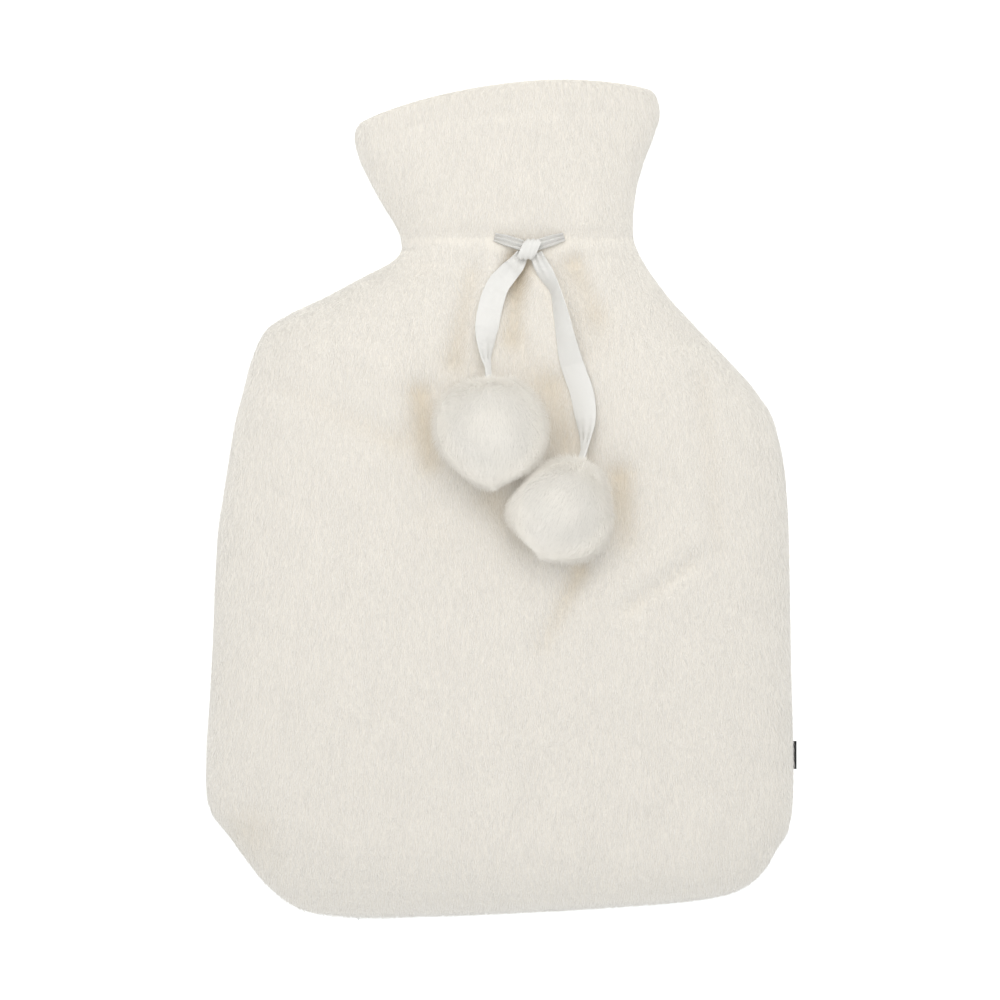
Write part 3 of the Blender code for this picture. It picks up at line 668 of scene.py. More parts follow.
def pile_tone_group():
    """Colour of a tuft: darker and warmer towards its root, as painted shade deep in the pile, and a little
    different from its neighbours.
    """
    name = "Pile tone"
    if name in bpy.data.node_groups:
        return bpy.data.node_groups[name]
    inputs = {"Root": (0.8, 0.7, 0.6, 1), "Tip": (0.9, 0.85, 0.8, 1), "Spread": 0.06, "Patch size": 0.02}
    tree, start, end = new_group(name, inputs, {"Color": (1, 1, 1, 1)})
    given, calc = start.outputs, partial(math_node, tree)
    uv = add_node(tree, "ShaderNodeUVMap", uv_map="tuft")
    split = add_node(tree, "ShaderNodeSeparateXYZ", {0: uv.outputs["UV"]})
    # from the root's colour, which is painted shade, to the tip's own colour
    colour = mixed(tree, calc("POWER", split.outputs["Y"], ROOT_FADE), given["Root"], given["Tip"])
    coords = add_node(tree, "ShaderNodeTexCoord")
    patch = calc("SUBTRACT", noise_over(tree, coords.outputs["Object"], given["Patch size"], 3), 0.5)
    own = calc("SUBTRACT", split.outputs["X"], 0.5)
    tone = calc("MULTIPLY_ADD", calc("MULTIPLY_ADD", patch, PATCH_TONE, own), given["Spread"], 1.0)
    set_inputs(tree, end, {"Color": toned(tree, colour, tone)})
    return tree


def nap_group():
    """Fine fibres lying along Y, as a height and a tone."""
    name = "Nap"
    if name in bpy.data.node_groups:
        return bpy.data.node_groups[name]
    tree, start, end = new_group(name, {"Fibre": 0.0006, "Stretch": 5.0}, {"Height": 0.0, "Tone": 1.0})
    coords = add_node(tree, "ShaderNodeTexCoord")
    stretch = add_node(tree, "ShaderNodeCombineXYZ", {"X": 1.0, "Y": start.outputs["Stretch"], "Z": 1.0})
    values = {0: coords.outputs["Object"], 1: stretch.outputs[0]}
    squeeze = add_node(tree, "ShaderNodeVectorMath", values, operation="DIVIDE")
    noise = noise_over(tree, squeeze.outputs[0], start.outputs["Fibre"], 4)
    set_inputs(tree, end, {"Height": noise, "Tone": math_node(tree, "MULTIPLY_ADD", noise, 0.2, 0.9)})
    return tree


def weave_group():
    """Fine threads across and along a piece's own UV map, as a height."""
    name = "Weave"
    if name in bpy.data.node_groups:
        return bpy.data.node_groups[name]
    inputs = {"Across": 40.0, "Along": 200.0, "Balance": 0.5}
    tree, start, end = new_group(name, inputs, {"Height": 0.0})
    given, calc = start.outputs, partial(math_node, tree)
    uv = add_node(tree, "ShaderNodeUVMap")
    split = add_node(tree, "ShaderNodeSeparateXYZ", {0: uv.outputs["UV"]})
    shares = {"Across": given["Balance"], "Along": calc("SUBTRACT", 1.0, given["Balance"])}
    height = 0.0
    for axis, (count, share) in zip("XY", shares.items()):
        turns = calc("MULTIPLY", split.outputs[axis], given[count])
        wave = calc("MULTIPLY", calc("SINE", calc("MULTIPLY", turns, 2 * math.pi)), 0.5)
        height = calc("MULTIPLY_ADD", wave, share, height)
    set_inputs(tree, end, {"Height": height})
    return tree


def new_material(name, roughness, sheen=0.0):
    material = bpy.data.materials.new(name)
    material.use_nodes = True
    tree = material.node_tree
    shader = tree.nodes["Principled BSDF"]
    values = {
        "Metallic": 0.0,
        "Roughness": roughness,
        "Sheen Weight": sheen,
        "Sheen Roughness": 0.4,
        "Sheen Tint": (*SHEEN_TINT, 1),
        "Specular IOR Level": 0.2,
    }
    set_inputs(tree, shader, values)
    return material, tree, shader


def colour_and_relief(tree, shader, colour, height, strength, distance):
    values = {"Strength": strength, "Distance": distance, "Height": height}
    bump = add_node(tree, "ShaderNodeBump", values)
    set_inputs(tree, shader, {"Base Color": colour, "Normal": bump.outputs["Normal"]})


def pile_material(name, root, tip, spread):
    """Loose fibres, for tufts, with their root colour as painted shade deep in the pile."""
    if name in bpy.data.materials:
        return bpy.data.materials[name]
    material, tree, shader = new_material(name, 0.9, PILE_SHEEN)
    values = {"Root": (*root, 1), "Tip": (*tip, 1), "Spread": spread, "Patch size": PATCH_SIZE}
    tone = add_node(tree, "ShaderNodeGroup", values, node_tree=pile_tone_group())
    set_inputs(tree, shader, {"Base Color": tone.outputs["Color"]})
    return material


def nap_material(name, colour, deep_shade_colour, fibre=0.0006, stretch=5.0):
    """The cloth's face seen between the tufts: short fibres that lie along it, painted darker and warmer deep
    in a fold as shade.
    """
    if name in bpy.data.materials:
        return bpy.data.materials[name]
    material, tree, shader = new_material(name, 0.95, PILE_SHEEN)
    values = {"Fibre": fibre, "Stretch": stretch}
    nap = add_node(tree, "ShaderNodeGroup", values, node_tree=nap_group()).outputs
    # the share of painted shade in the folds, kept on the cloth's points
    recess = add_node(tree, "ShaderNodeAttribute", attribute_name="recess")
    cloth = mixed(tree, recess.outputs["Fac"], (*colour, 1), (*deep_shade_colour, 1))
    colour_and_relief(tree, shader, toned(tree, cloth, nap["Tone"]), nap["Height"], 0.6, 0.0006)
    return material


def woven_material(name, colour, roughness, across, along, balance, strength, distance, sheen=0.0):
    """Threads that show as fine ribs."""
    if name in bpy.data.materials:
        return bpy.data.materials[name]
    material, tree, shader = new_material(name, roughness, sheen)
    values = {"Across": across, "Along": along, "Balance": balance}
    height = add_node(tree, "ShaderNodeGroup", values, node_tree=weave_group()).outputs["Height"]
    tone = math_node(tree, "MULTIPLY_ADD", height, 0.06, 0.97)
    colour_and_relief(tree, shader, toned(tree, colour, tone), height, strength, distance)
    return material


# --- Pieces ---


def make_cloth(panel, settings):
    """A panel's cloth: its face under the pile and its knitted back, closed at the seam and the mouth."""
    bm = bmesh.new()
    add_grid(bm, cloth_face(panel.side, False))
    add_grid(bm, cloth_face(panel.side, True), material=1)
    bmesh.ops.bridge_loops(bm, edges=[edge for edge in bm.edges if edge.is_boundary])
    bmesh.ops.recalc_face_normals(bm, faces=bm.faces[:])
    for face in bm.faces:
        face.smooth = True
    if panel.side > 0:
        # painted shade in the front's folds, pompom beds and grooves, kept on its points
        recess = bm.verts.layers.float.new("recess")
        for vert in bm.verts:
            vert[recess] = float(fold_shade_share(np.array(vert.co[:])))
    # the face colour is the cloth darkened as painted shade under the pile, and the fold colour is painted
    # shade deep in the folds
    face_cloth = nap_material("plush_face", settings.shaded_face_colour, settings.fold_shade_colour)
    backing = woven_material("knit_backing", (0.84, 0.8, 0.74), 0.9, 140, 260, 0.5, 0.6, 0.0004)
    obj = finish_mesh(panel.name, bm, [face_cloth, backing])
    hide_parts(panel.node)
    return obj


def scatter(grid, density_at, rng):
    """Places spread evenly over a grid of points by area and density, with their normals and lines."""
    lines = np.diff(grid, axis=0)
    columns = np.diff(grid, axis=1)
    area = np.linalg.norm(np.cross(columns[:-1], lines[:, :-1]), axis=-1)
    normals = unit(np.cross(np.gradient(grid, axis=1), np.gradient(grid, axis=0)))
    weight = area * density_at((normals[:-1, :-1] + normals[1:, 1:]) / 2)
    total = np.cumsum(weight.ravel())
    order = np.arange(int(total[-1]))
    line, column = np.unravel_index(np.searchsorted(total, order + rng.random()), weight.shape)
    u, v = ((order * step + rng.normal(0, PLACE_JITTER, len(order)))[:, None] % 1 for step in EVEN_STEPS)
    return bilinear(grid, line, column, u, v), unit(bilinear(normals, line, column, u, v)), line + v[:, 0]


def combed(normals, lie, swirl, lean, reach):
    """Tufts' ways: lie turned about the normals by swirl, at lean from them, and as long as reach."""
    side = np.cross(normals, lie)
    lie = lie * np.cos(swirl)[:, None] + side * np.sin(swirl)[:, None]
    return (normals * np.cos(lean)[:, None] + lie * np.sin(lean)[:, None]) * reach[:, None]


def tuft_share():
    """How many of the tufts are made."""
    return 1.0


def pile_ways(roots, normals, settings, rng, pressed):
    """Which way and how far each tuft of the panels reaches."""
    count = len(roots)
    nap = np.array(NAP_WAY)
    lie = unit(nap - (normals @ nap)[:, None] * normals)
    swirl = PATCH_SWIRL * ripples(roots, 20, 60, 21) + rng.normal(0, TUFT_SWIRL, count)
    lean = PILE_LEAN + PATCH_LEAN * ripples(roots, 10, 30, 23) + rng.normal(0, LEAN_SPREAD, count)
    lean = np.radians(lean)
    lean = lean + (np.radians(PRESSED_LEAN) - lean) * pressed
    reach = settings.pile_length / MM * (1 + rng.normal(0, LENGTH_SPREAD, count))
    reach = reach * (1 - PRESSED_LOSS * pressed)
    return combed(normals, lie, swirl, lean, reach)


def pressed_share(points):
    """1 under the ribbon and the pompoms, falling to 0 beside them."""
    share = np.zeros(len(points))
    for tail in CACHE.get("tails", []):
        near = np.full(len(points), 1e9)
        for middle in tail[::3]:
            near = np.minimum(near, np.linalg.norm(points[:, :2] - middle[:2], axis=1))
        share = np.maximum(share, 1 - smooth_step(*RIBBON_PRESS, near))
    for ball in CACHE.get("balls", []):
        out = np.linalg.norm(points[:, :2] - ball.middle[:2], axis=1) - ball.radius
        share = np.maximum(share, POMPOM_PRESSED * (1 - smooth_step(*POMPOM_PRESS, out)))
    return share


def make_pile(panel, settings):
    """The pile of a panel's face and of its hem's inner side, in pieces from the bottom edge up."""
    is_front = panel.side > 0
    rng = np.random.default_rng(31 if is_front else 32)
    full, under = (settings.front_density, 1.0) if is_front else (settings.back_density, UNDER_SHARE)
    hem_density = tuft_share() * settings.back_density

    def density(normals):
        edge = 1 - smooth_step(*EDGE_SLOPES, np.abs(normals[..., 2]))
        return tuft_share() * (full * (under + (1 - under) * edge) + settings.edge_density * edge)

    places = line_places()
    face = cloth_face(panel.side, False)[1:, 1:-1]
    hem = cloth_face(panel.side, True)[np.searchsorted(places, LENGTH - HEM_DEPTH) :, 1:-1]
    roots, normals, lines = scatter(face[:, :: panel.side], density, rng)
    hem_roots, hem_normals, _ = scatter(hem[:, :: -panel.side], lambda _: hem_density, rng)
    hem_count = len(hem_roots)
    # painted shade in the front's folds, pompom beds and grooves
    recess = fold_shade_share(roots, groove_at(np.interp(lines, np.arange(len(places)), places))) * is_front
    recess = np.concatenate([recess, np.zeros(hem_count)])
    pressed = pressed_share(roots) if is_front else np.zeros(len(roots))
    ways = pile_ways(roots, normals, settings, rng, pressed)
    hem_ways = pile_ways(hem_roots, hem_normals, settings, rng, np.full(hem_count, HEM_PRESSED))
    roots = np.concatenate([roots, hem_roots])
    normals = np.concatenate([normals, hem_normals])
    ways = np.concatenate([ways, hem_ways])
    ways[:, 2] += np.maximum(LEAST_HEIGHT - (roots + ways)[:, 2], 0)
    widths = settings.pile_width / MM * rng.uniform(*TUFT_WIDTHS, len(roots))

    # the root colour is painted shade deep in the pile and its folds
    material = pile_material("plush_pile", settings.root_shade_colour, settings.tip_colour, PLUSH_SPREAD)
    count = max(1, math.ceil(len(roots) * 4 / PIECE_TRIANGLES))
    edges = np.quantile(roots[:, 1], np.linspace(0, 1, count + 1)[1:-1])
    band = np.searchsorted(edges, roots[:, 1])
    for i in range(count):
        own = band == i
        name = f"{panel.name.split('_')[0]}_pile_{i + 1}"
        tufts = (part[own] for part in (roots, normals, ways, widths))
        obj = tuft_piece(name, *tufts, 40 + i, material, recess[own])


Ball = namedtuple("Ball", "middle radius tie")


def ball_of(pompom):
    """A pompom's middle, its radius over the pile's tips and the way to where the ribbon goes in."""
    low, high = box_of(pompom.node)
    radius = (high - low)[:2].mean() / 2
    middle = np.array([*(low + high)[:2] / 2, high[2] - radius])
    return Ball(middle, radius, unit(np.array((pompom.tie_x, pompom.tie_y, -pompom.tie_drop))))


def kept_apart(points, ball, other, gap):
    """Points of a pompom held a gap short of the plane between it and the other one."""
    between = unit(other.middle - ball.middle)
    half_way = (np.linalg.norm(other.middle - ball.middle) + ball.radius - other.radius) / 2
    beyond = np.maximum((points - ball.middle) @ between - half_way + gap, 0)
    return points - beyond[:, None] * between


def ball_surface(pompom, ball, other, directions):
    """Points of a pompom's cloth, notched and gathered where the ribbon goes in."""
    away = np.arccos(np.clip(directions @ ball.tie, -1, 1))
    first = unit(np.cross(ball.tie, UP))
    turn = np.arctan2(directions @ np.cross(ball.tie, first), directions @ first)
    gathered = np.exp(-(((away - PLEATS_AT) / PLEATS_HALF) ** 2))
    pleat = PLEAT_DEPTH * np.cos(PLEATS * turn + 1.3 * np.sin(3 * turn)) * gathered
    notch = pompom.notch * np.exp(-((away / NOTCH_WIDTH) ** 2))
    reach = ball.radius - POMPOM_DEPTH - notch - pleat
    spots = directions[:, :2] * 30 + directions[:, 2:] * 17
    reach = reach + POMPOM_RIPPLE * ripples(spots, 16, 34, pompom.seed)
    for swell in SWELLS[pompom.node]:
        heading = math.radians(swell.turn)
        off = np.arccos(np.clip(directions @ (math.cos(heading), math.sin(heading), 0.0), -1, 1))
        reach = reach + swell.height * np.exp(-((off / swell.spread) ** 2))
    points = ball.middle + directions * reach[:, None]
    points[:, 2] -= (1 - POMPOM_FLAT) * np.maximum(points[:, 2] - ball.middle[2], 0)
    points = kept_apart(points, ball, other, PLANE_GAP)
    off = (points - ball.middle)[:, :2]
    up = np.clip(front_heights(points) + CLOTH_STAND - ball.middle[2], 0, reach)
    held = np.sqrt(reach**2 - up**2) / np.maximum(np.linalg.norm(off, axis=1), 1e-6)
    points[:, :2] = ball.middle[:2] + off * np.minimum(held, 1.0)[:, None]
    points[:, 2] += np.maximum(front_heights(points) + CLOTH_STAND - points[:, 2], 0)
    return points


def make_pompom(pompom, ball, other, settings):
    """A padded ball of plush, gathered at the ribbon."""
    bm = bmesh.new()
    bmesh.ops.create_cube(bm, size=2)
    bmesh.ops.subdivide_edges(bm, edges=bm.edges[:], cuts=POMPOM_CUTS, use_grid_fill=True)
    directions = unit(np.tan(np.array([vert.co[:] for vert in bm.verts]) * math.pi / 4))
    points = ball_surface(pompom, ball, other, directions)
    for vert, point in zip(bm.verts, points):
        vert.co = point
    for face in bm.faces:
        face.smooth = True
    bmesh.ops.recalc_face_normals(bm, faces=bm.faces[:])
    # the pompom's cloth under its pile is darkened as painted shade
    face = settings.pompom_face
    skin = nap_material("pompom_face", face, face, fibre=0.0008, stretch=2.0)
    obj = finish_mesh(pompom.name, bm, [skin])
    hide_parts(pompom.node)


def even_ball(count, rng):
    """Directions spread evenly all round."""
    order = np.arange(count) + 0.5
    height = 1 - 2 * order / count
    turn = order * GOLDEN_TURN
    flat = np.sqrt(1 - height**2)
    ball = np.stack([flat * np.cos(turn), flat * np.sin(turn), height], axis=-1)
    return unit(ball + rng.normal(0, PLACE_SPREAD / math.sqrt(count), ball.shape))


def make_pompom_pile(pompom, ball, other, settings):
    """The pompom's fibres, combed away from the ribbon."""
    rng = np.random.default_rng(pompom.seed)
    directions = even_ball(int(settings.pompom_tufts * tuft_share()), rng)
    kept = UNSEEN_SHARE + (1 - UNSEEN_SHARE) * smooth_step(-0.3, 0.0, directions[:, 2])
    directions = directions[rng.random(len(directions)) < kept]
    count, height = len(directions), directions[:, 2]
    roots = ball_surface(pompom, ball, other, directions)
    lie = unit((directions @ ball.tie)[:, None] * directions - ball.tie)
    spots = directions[:, :2] * 25 + directions[:, 2:] * 14
    swirl = PATCH_SWIRL * ripples(spots, 12, 30, pompom.seed + 1) + rng.normal(0, POMPOM_SWIRL, count)
    lean = POMPOM_LEAN + TOP_LEAN * smooth_step(0, 0.8, height) + LOW_LEAN * smooth_step(0, -0.3, height)
    lean = np.radians(lean + rng.normal(0, POMPOM_LEAN_SPREAD, count))
    reach = settings.pompom_pile / MM * (1 + rng.normal(0, POMPOM_LENGTH_SPREAD, count))
    tips = roots + combed(directions, lie, swirl, lean, reach)
    tips = kept_apart(tips, ball, other, -TIPS_MINGLE)
    tips[:, 2] += np.maximum(front_heights(tips) - TIPS_SINK - tips[:, 2], 0)
    widths = settings.pile_width / MM * rng.uniform(*TUFT_WIDTHS, count)
    # the root colour is painted shade deep in the pile
    material = pile_material("pompom_pile", settings.pompom_root_shade, settings.pompom_tip, POMPOM_SPREAD)
    name, seed = f"{pompom.name}_pile", pompom.seed + 3
    obj = tuft_piece(name, roots, directions, tips - roots, widths, seed, material, lift=POMPOM_LIFT)


def ribbon_frames(bends, at):
    """A ribbon's rows at places along it, with the ways along it, across its width and through it."""
    keys = np.arange(len(bends))
    before, here, after = (eased_rows(bends, keys, at + step) for step in (-0.25, 0, 0.25))
    heading = unit(np.stack([after.x - before.x, after.y - before.y, 0 * after.x], axis=-1))
    across = np.stack([-heading[:, 1], heading[:, 0], 0 * heading[:, 0]], axis=-1)
    roll = np.radians(here.roll)[:, None]
    up = np.array(UP)
    return here, heading, across * np.cos(roll) + up * np.sin(roll), up * np.cos(roll) - across * np.sin(roll)


def resting_levels(bends, at, tree):
    """How high a ribbon's middle lies at places along it, so that it rests on the plush."""
    here, heading, wide, thick = ribbon_frames(bends, at)
    levels = []
    for i in range(len(at)):
        edges = [wide[i] * here.width[i] / 2 * a - thick[i] * SOLID_THICK / 2 for a in (-1, -0.5, 0, 0.5, 1)]
        middle = np.array((here.x[i], here.y[i], 0))
        feet = [middle + heading[i] * run + edge for run in (-FOOT_SPREAD, 0, FOOT_SPREAD) for edge in edges]
        rest = max(height_over(tree, foot[0], foot[1]) - foot[2] for foot in feet)
        levels.append(rest + GAP + here.lift[i] - RIBBON_SINK)
    return levels


def strip_lines(bends, tree, end=None):
    """Lines of points across a ribbon along its bends, and on to an end inside a pompom if it has one."""
    coarse = np.arange(0, len(bends) - 0.75, 0.5)
    fine = np.arange(0, len(bends) - 1 + RIBBON_STEP / 2, RIBBON_STEP)
    here, _, wide, thick = ribbon_frames(bends, fine)
    levels = resting_levels(bends, coarse, tree)
    middles = np.stack([here.x, here.y, eased(coarse, levels, fine)], axis=-1)
    widths = here.width
    if end is not None:
        share = smooth_step(0, 1, np.linspace(0, 1, END_LINES + 1)[1:])[:, None]
        middles = np.concatenate([middles, middles[-1] * (1 - share) + end * share])
        wide, thick = (np.concatenate([way, np.repeat(way[-1:], END_LINES, axis=0)]) for way in (wide, thick))
        widths = np.concatenate([widths, np.linspace(widths[-1], END_WIDTH, END_LINES)])
    v = np.linspace(-1, 1, RIBBON_COLUMNS + 1)
    gathered = 1 - widths / FULL_WIDTH
    crown = CROWN * (1 - v**2)[None] * (1 - gathered)[:, None]
    pleats = GATHER_DEPTH * gathered[:, None] * np.cos(2.5 * math.pi * v)[None]
    lines = middles[:, None] + wide[:, None] * (widths[:, None] / 2 * v[None])[..., None]
    return lines + thick[:, None] * (crown + pleats)[..., None], middles


def knot_band():
    """Lines of a short gathered band round the crossing."""
    turns = np.linspace(0, 2 * math.pi, 49)
    v = np.linspace(-1, 1, 15)
    half_x, half_y, half_z = (size / 2 for size in KNOT_SIZE)
    bulge = 1 + KNOT_PLEAT * np.cos(3.5 * math.pi * v) - KNOT_TAPER * v**4
    x = half_x * KNOT_LENGTH * v[None] + KNOT_SLANT * half_y * np.sin(turns)[:, None]
    y = half_y * np.sin(turns)[:, None] * bulge[None]
    z = half_z * np.cos(turns)[:, None] * bulge[None]
    return np.stack([x, y, z], axis=-1)


def make_ribbon(settings):
    """The satin tie, in one mesh: two tails, two ends into the channel and the knot's band."""
    tree = node_tree_of("front_panel")
    balls = CACHE["balls"]
    ends = [ball.middle + ball.tie * (ball.radius * END_REACH) for ball in balls]
    CACHE["tails"] = []
    bm = bmesh.new()
    for bends, end in ((LEFT_TAIL, ends[0]), (RIGHT_TAIL, ends[1]), (LEFT_WING, None), (RIGHT_WING, None)):
        lines, middles = strip_lines(bends, tree, end)
        CACHE["tails"].append(middles)
        add_grid(bm, lines)
    steps = [i / 3 for i in range(-3, 4)]
    under = [
        height_over(tree, KNOT_X + KNOT_SIZE[0] / 2 * a, KNOT_Y + KNOT_SIZE[1] / 2 * b)
        for a in steps
        for b in steps
    ]
    band = knot_band() + np.array((KNOT_X, KNOT_Y, max(under) + GAP + KNOT_SIZE[2] / 2))
    verts = add_grid(bm, band)
    bmesh.ops.remove_doubles(bm, verts=verts, dist=0.001)
    bmesh.ops.recalc_face_normals(bm, faces=bm.faces[:])
    bmesh.ops.solidify(bm, geom=bm.faces[:], thickness=RIBBON_THICK)
    for face in bm.faces:
        face.smooth = True
    for edge in bm.edges:
        edge.smooth = edge.calc_face_angle(0.0) < RIM_ANGLE
    satin = woven_material("satin", settings.ribbon_colour, 0.36, 60, 500, 0.3, 0.25, 0.0001, sheen=0.1)
    obj = finish_mesh("satin_ribbon", bm, [satin])
    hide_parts("ribbon_tie")


def make_label(settings):
    """The blank tab: tape folded round at its outer edge, its two ends in the seam."""
    low, high = box_of("side_label")
    depth, length, thick = high - low
    radius = thick / 2 - TAPE_INSET
    bend = depth / 2 - radius - TAPE_INSET
    turns = np.linspace(-math.pi / 2, math.pi / 2, 9)
    outer = [(bend + radius * math.cos(turn), radius * math.sin(turn)) for turn in turns]
    profile = [(-depth / 2, -radius), *outer, (-depth / 2, radius)]
    ys = np.linspace(-length / 2 + 0.1, length / 2 - 0.1, 17)
    lines = np.array([[(x, y, z * (1 + 0.08 * math.sin(y * 1.3))) for x, z in profile] for y in ys])
    bm = bmesh.new()
    add_grid(bm, lines + (low + high) / 2)
    bmesh.ops.recalc_face_normals(bm, faces=bm.faces[:])
    bmesh.ops.solidify(bm, geom=bm.faces[:], thickness=TAPE_THICK)
    tape = woven_material("label_tape", settings.label_colour, 0.75, 12, 60, 0.4, 0.5, 0.0001)
    obj = finish_mesh("side_tab", bm, [tape])
    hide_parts("side_label")


def add_light(name, place, size, energy, colour, target=(0.0, 0.0, 0.02)):
    data = bpy.data.lights.new(name, "AREA")
    data.color = colour
    data.shape = "DISK"
    data.size = size
    data.energy = energy
    light = add_object(name, data)
    light.visible_camera = False
    way = Vector(target) - Vector(place)
    light.matrix_world = Matrix.Translation(place) @ way.to_track_quat("-Z", "Y").to_matrix().to_4x4()
    return light


def make_stage(settings):
    """A white surface, soft lights and the camera straight above."""
    bm = bmesh.new()
    bmesh.ops.create_grid(bm, x_segments=1, y_segments=1, size=3)
    floor = add_object("floor", mesh_of("floor", bm))
    material, tree, shader = new_material("floor_white", 0.9)
    values = {
        "Base Color": (0.92, 0.92, 0.92, 1),
        "Emission Color": (0.9, 0.97, 1.0, 1),
        "Emission Strength": settings.floor_glow,
    }
    set_inputs(tree, shader, values)
    floor.data.materials.append(material)

    world = bpy.data.worlds.new("studio")
    bpy.context.scene.world = world
    world.use_nodes = True
    background = world.node_tree.nodes["Background"]
    values = {"Color": (*settings.ambient_colour, 1), "Strength": settings.ambient}
    set_inputs(world.node_tree, background, values)
    add_light("key_light", (-0.06, 0.30, 1.1), 1.3, settings.key_power, settings.key_colour)
    place, target = (0.0, 0.62, 0.75), (0.0, 0.15, 0.03)
    collar = add_light("collar_light", place, 0.35, settings.collar_power, settings.key_colour, target)
    collar.data.spread = math.radians(30)

    data = bpy.data.cameras.new("camera")
    data.lens = 135
    data.sensor_width = 36
    data.clip_start = 0.05
    camera = add_object("camera", data)
    camera.location = (-0.0002, -0.0002, 1.596)
    bpy.context.scene.camera = camera
    bpy.context.scene.view_settings.view_transform = "Standard"


# --- Add-on ---


def number_property(name, description, default, **options):
    return bpy.props.FloatProperty(name=name, description=description, default=default, **options)


def length_property(name, description, default):
    return number_property(name, description, default, unit="LENGTH", precision=5)


def colour_property(name, description, default):
    return bpy.props.FloatVectorProperty(
        name=name, description=description, subtype="COLOR", size=3, min=0, max=1, default=default
    )


class CoverPlushSettings(bpy.types.PropertyGroup):
    """Sizes and colours of the panels' plush."""

    pile_length: length_property("Pile length", "Length of a tuft", 0.0034)
    pile_width: length_property("Pile width", "Width of a tuft at its root", 0.00024)
    front_density: number_property("Front density", "Tufts on each square millimetre of the front", 1.9)
    back_density: number_property("Back density", "Tufts on each square millimetre of the back", 0.6)
    edge_density: number_property("Edge density", "More tufts on each square millimetre of the sides", 1.0)
    # darkened as painted shade under the pile
    shaded_face_colour: colour_property("Face colour", "Colour of the cloth under its pile", (0.755, 0.71, 0.64))
    # painted shade deep in a fold
    fold_shade_colour: colour_property("Fold colour", "Colour of the cloth deep in a fold", (0.62, 0.515, 0.37))
    # darkened and warmed as painted shade deep in the pile and its folds
    root_shade_colour: colour_property("Root colour", "Colour of the pile at its roots", (0.63, 0.515, 0.32))
    tip_colour: colour_property("Tip colour", "Colour of the pile at its tips", (0.858, 0.826, 0.782))


class CoverPompomSettings(bpy.types.PropertyGroup):
    """Sizes and colours of the pompoms."""

    pompom_pile: length_property("Pile length", "Length of a tuft", 0.0042)
    pile_width: length_property("Pile width", "Width of a tuft at its root", 0.00028)
    pompom_tufts: bpy.props.IntProperty(name="Tufts", description="Tufts on each pompom", default=20000)
    # darkened as painted shade under its pile
    pompom_face: colour_property("Face colour", "Colour of the cloth under its pile", (0.85, 0.817, 0.76))
    # darkened as painted shade deep in its pile
    pompom_root_shade: colour_property("Root colour", "Colour of the pile at its roots", (0.83, 0.765, 0.67))
    pompom_tip: colour_property("Tip colour", "Colour of the pile at its tips", (0.928, 0.893, 0.83))


class CoverTrimSettings(bpy.types.PropertyGroup):
    """Colours of the ribbon and the tab."""

    ribbon_colour: colour_property("Ribbon colour", "Colour of the satin", (0.735, 0.722, 0.695))
    label_colour: colour_property("Tab colour", "Colour of the side tab", (0.015, 0.015, 0.017))


class CoverStageSettings(bpy.types.PropertyGroup):
    """Light of the studio."""

    ambient: number_property("Ambient", "Light from all round", 0.87)
    ambient_colour: colour_property("Ambient colour", "Colour of that light", (0.96, 0.985, 1.0))
    key_power: number_property("Key light", "Power of the light overhead", 5.9, unit="POWER")
    collar_power: number_property(
        "Collar light", "Power of the light on the collar", 0.03, unit="POWER", precision=3
    )
    key_colour: colour_property("Key colour", "Colour of the light overhead", (1.0, 0.975, 0.935))
    floor_glow: number_property("Floor glow", "How bright the floor shines by itself", 0.45)


class COVER_OT_cloth(bpy.types.Operator):
    """Make the cloth of the two panels"""

    bl_idname = "cover.cloth"
    bl_label = "Panels' cloth"

    def execute(self, context):
        for panel in PANELS:
            obj = make_cloth(panel, context.scene.cover_plush)
        return {"FINISHED"}


class COVER_OT_pompoms(bpy.types.Operator):
    """Make the two pompoms"""

    bl_idname = "cover.pompoms"
    bl_label = "Pompoms"

    def execute(self, context):
        balls = CACHE["balls"] = [ball_of(pompom) for pompom in POMPOMS]
        for pompom, ball, other in zip(POMPOMS, balls, reversed(balls)):
            make_pompom(pompom, ball, other, context.scene.cover_pompom)
            make_pompom_pile(pompom, ball, other, context.scene.cover_pompom)
        return {"FINISHED"}


class COVER_OT_ribbon(bpy.types.Operator):
    """Make the satin tie, after the pompoms"""

    bl_idname = "cover.ribbon"
    bl_label = "Ribbon"

    def execute(self, context):
        make_ribbon(context.scene.cover_trim)
        return {"FINISHED"}


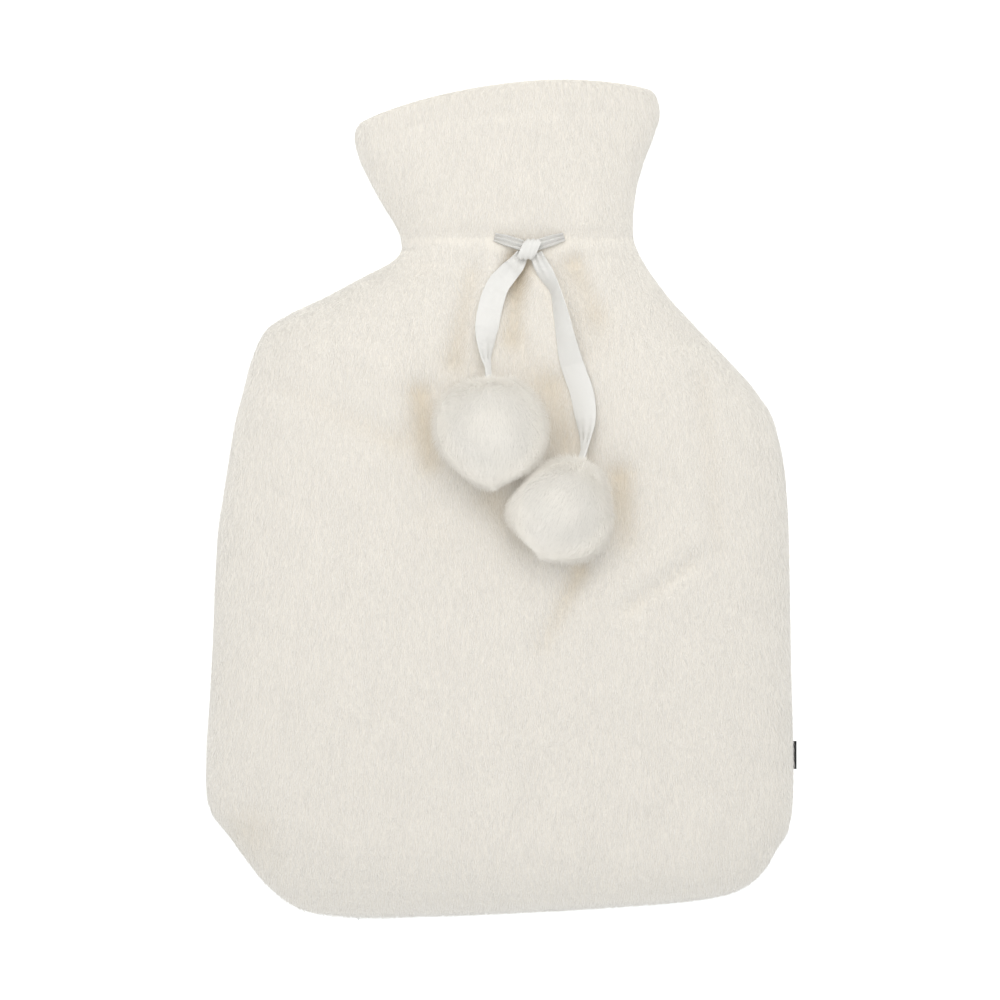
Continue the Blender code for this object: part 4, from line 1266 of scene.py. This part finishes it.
class COVER_OT_pile(bpy.types.Operator):
    """Make the pile of the two panels, after the ribbon that presses it"""

    bl_idname = "cover.pile"
    bl_label = "Pile"

    def execute(self, context):
        for panel in PANELS:
            make_pile(panel, context.scene.cover_plush)
        return {"FINISHED"}


class COVER_OT_label(bpy.types.Operator):
    """Make the blank tab in the side seam"""

    bl_idname = "cover.label"
    bl_label = "Side tab"

    def execute(self, context):
        make_label(context.scene.cover_trim)
        return {"FINISHED"}


class COVER_OT_stage(bpy.types.Operator):
    """Set up the floor, the lights and the camera"""

    bl_idname = "cover.stage"
    bl_label = "Studio"

    def execute(self, context):
        make_stage(context.scene.cover_stage)
        return {"FINISHED"}


class COVER_PT_panel(bpy.types.Panel):
    """Lists the cover's pieces and their settings"""

    bl_idname = "COVER_PT_panel"
    bl_label = "Bottle cover"
    bl_space_type = "VIEW_3D"
    bl_region_type = "UI"
    bl_category = "Cover"

    def draw(self, context):
        for operator in OPERATORS:
            self.layout.operator(operator.bl_idname)
        for name, kind in SETTINGS.items():
            for key in kind.__annotations__:
                self.layout.prop(getattr(context.scene, name), key)


OPERATORS = [COVER_OT_cloth, COVER_OT_pompoms, COVER_OT_ribbon, COVER_OT_pile, COVER_OT_label, COVER_OT_stage]
SETTINGS = {
    "cover_plush": CoverPlushSettings,
    "cover_pompom": CoverPompomSettings,
    "cover_trim": CoverTrimSettings,
    "cover_stage": CoverStageSettings,
}


def register():
    for kind in [*SETTINGS.values(), *OPERATORS, COVER_PT_panel]:
        bpy.utils.register_class(kind)
    for name, kind in SETTINGS.items():
        setattr(bpy.types.Scene, name, bpy.props.PointerProperty(type=kind))


def unregister():
    for name in SETTINGS:
        delattr(bpy.types.Scene, name)
    for kind in reversed([*SETTINGS.values(), *OPERATORS, COVER_PT_panel]):
        bpy.utils.unregister_class(kind)


def main():
    register()
    bpy.ops.cover.cloth()
    bpy.ops.cover.pompoms()
    bpy.ops.cover.ribbon()
    bpy.ops.cover.pile()
    bpy.ops.cover.label()
    bpy.ops.cover.stage()


if __name__ == "__main__":
    main()
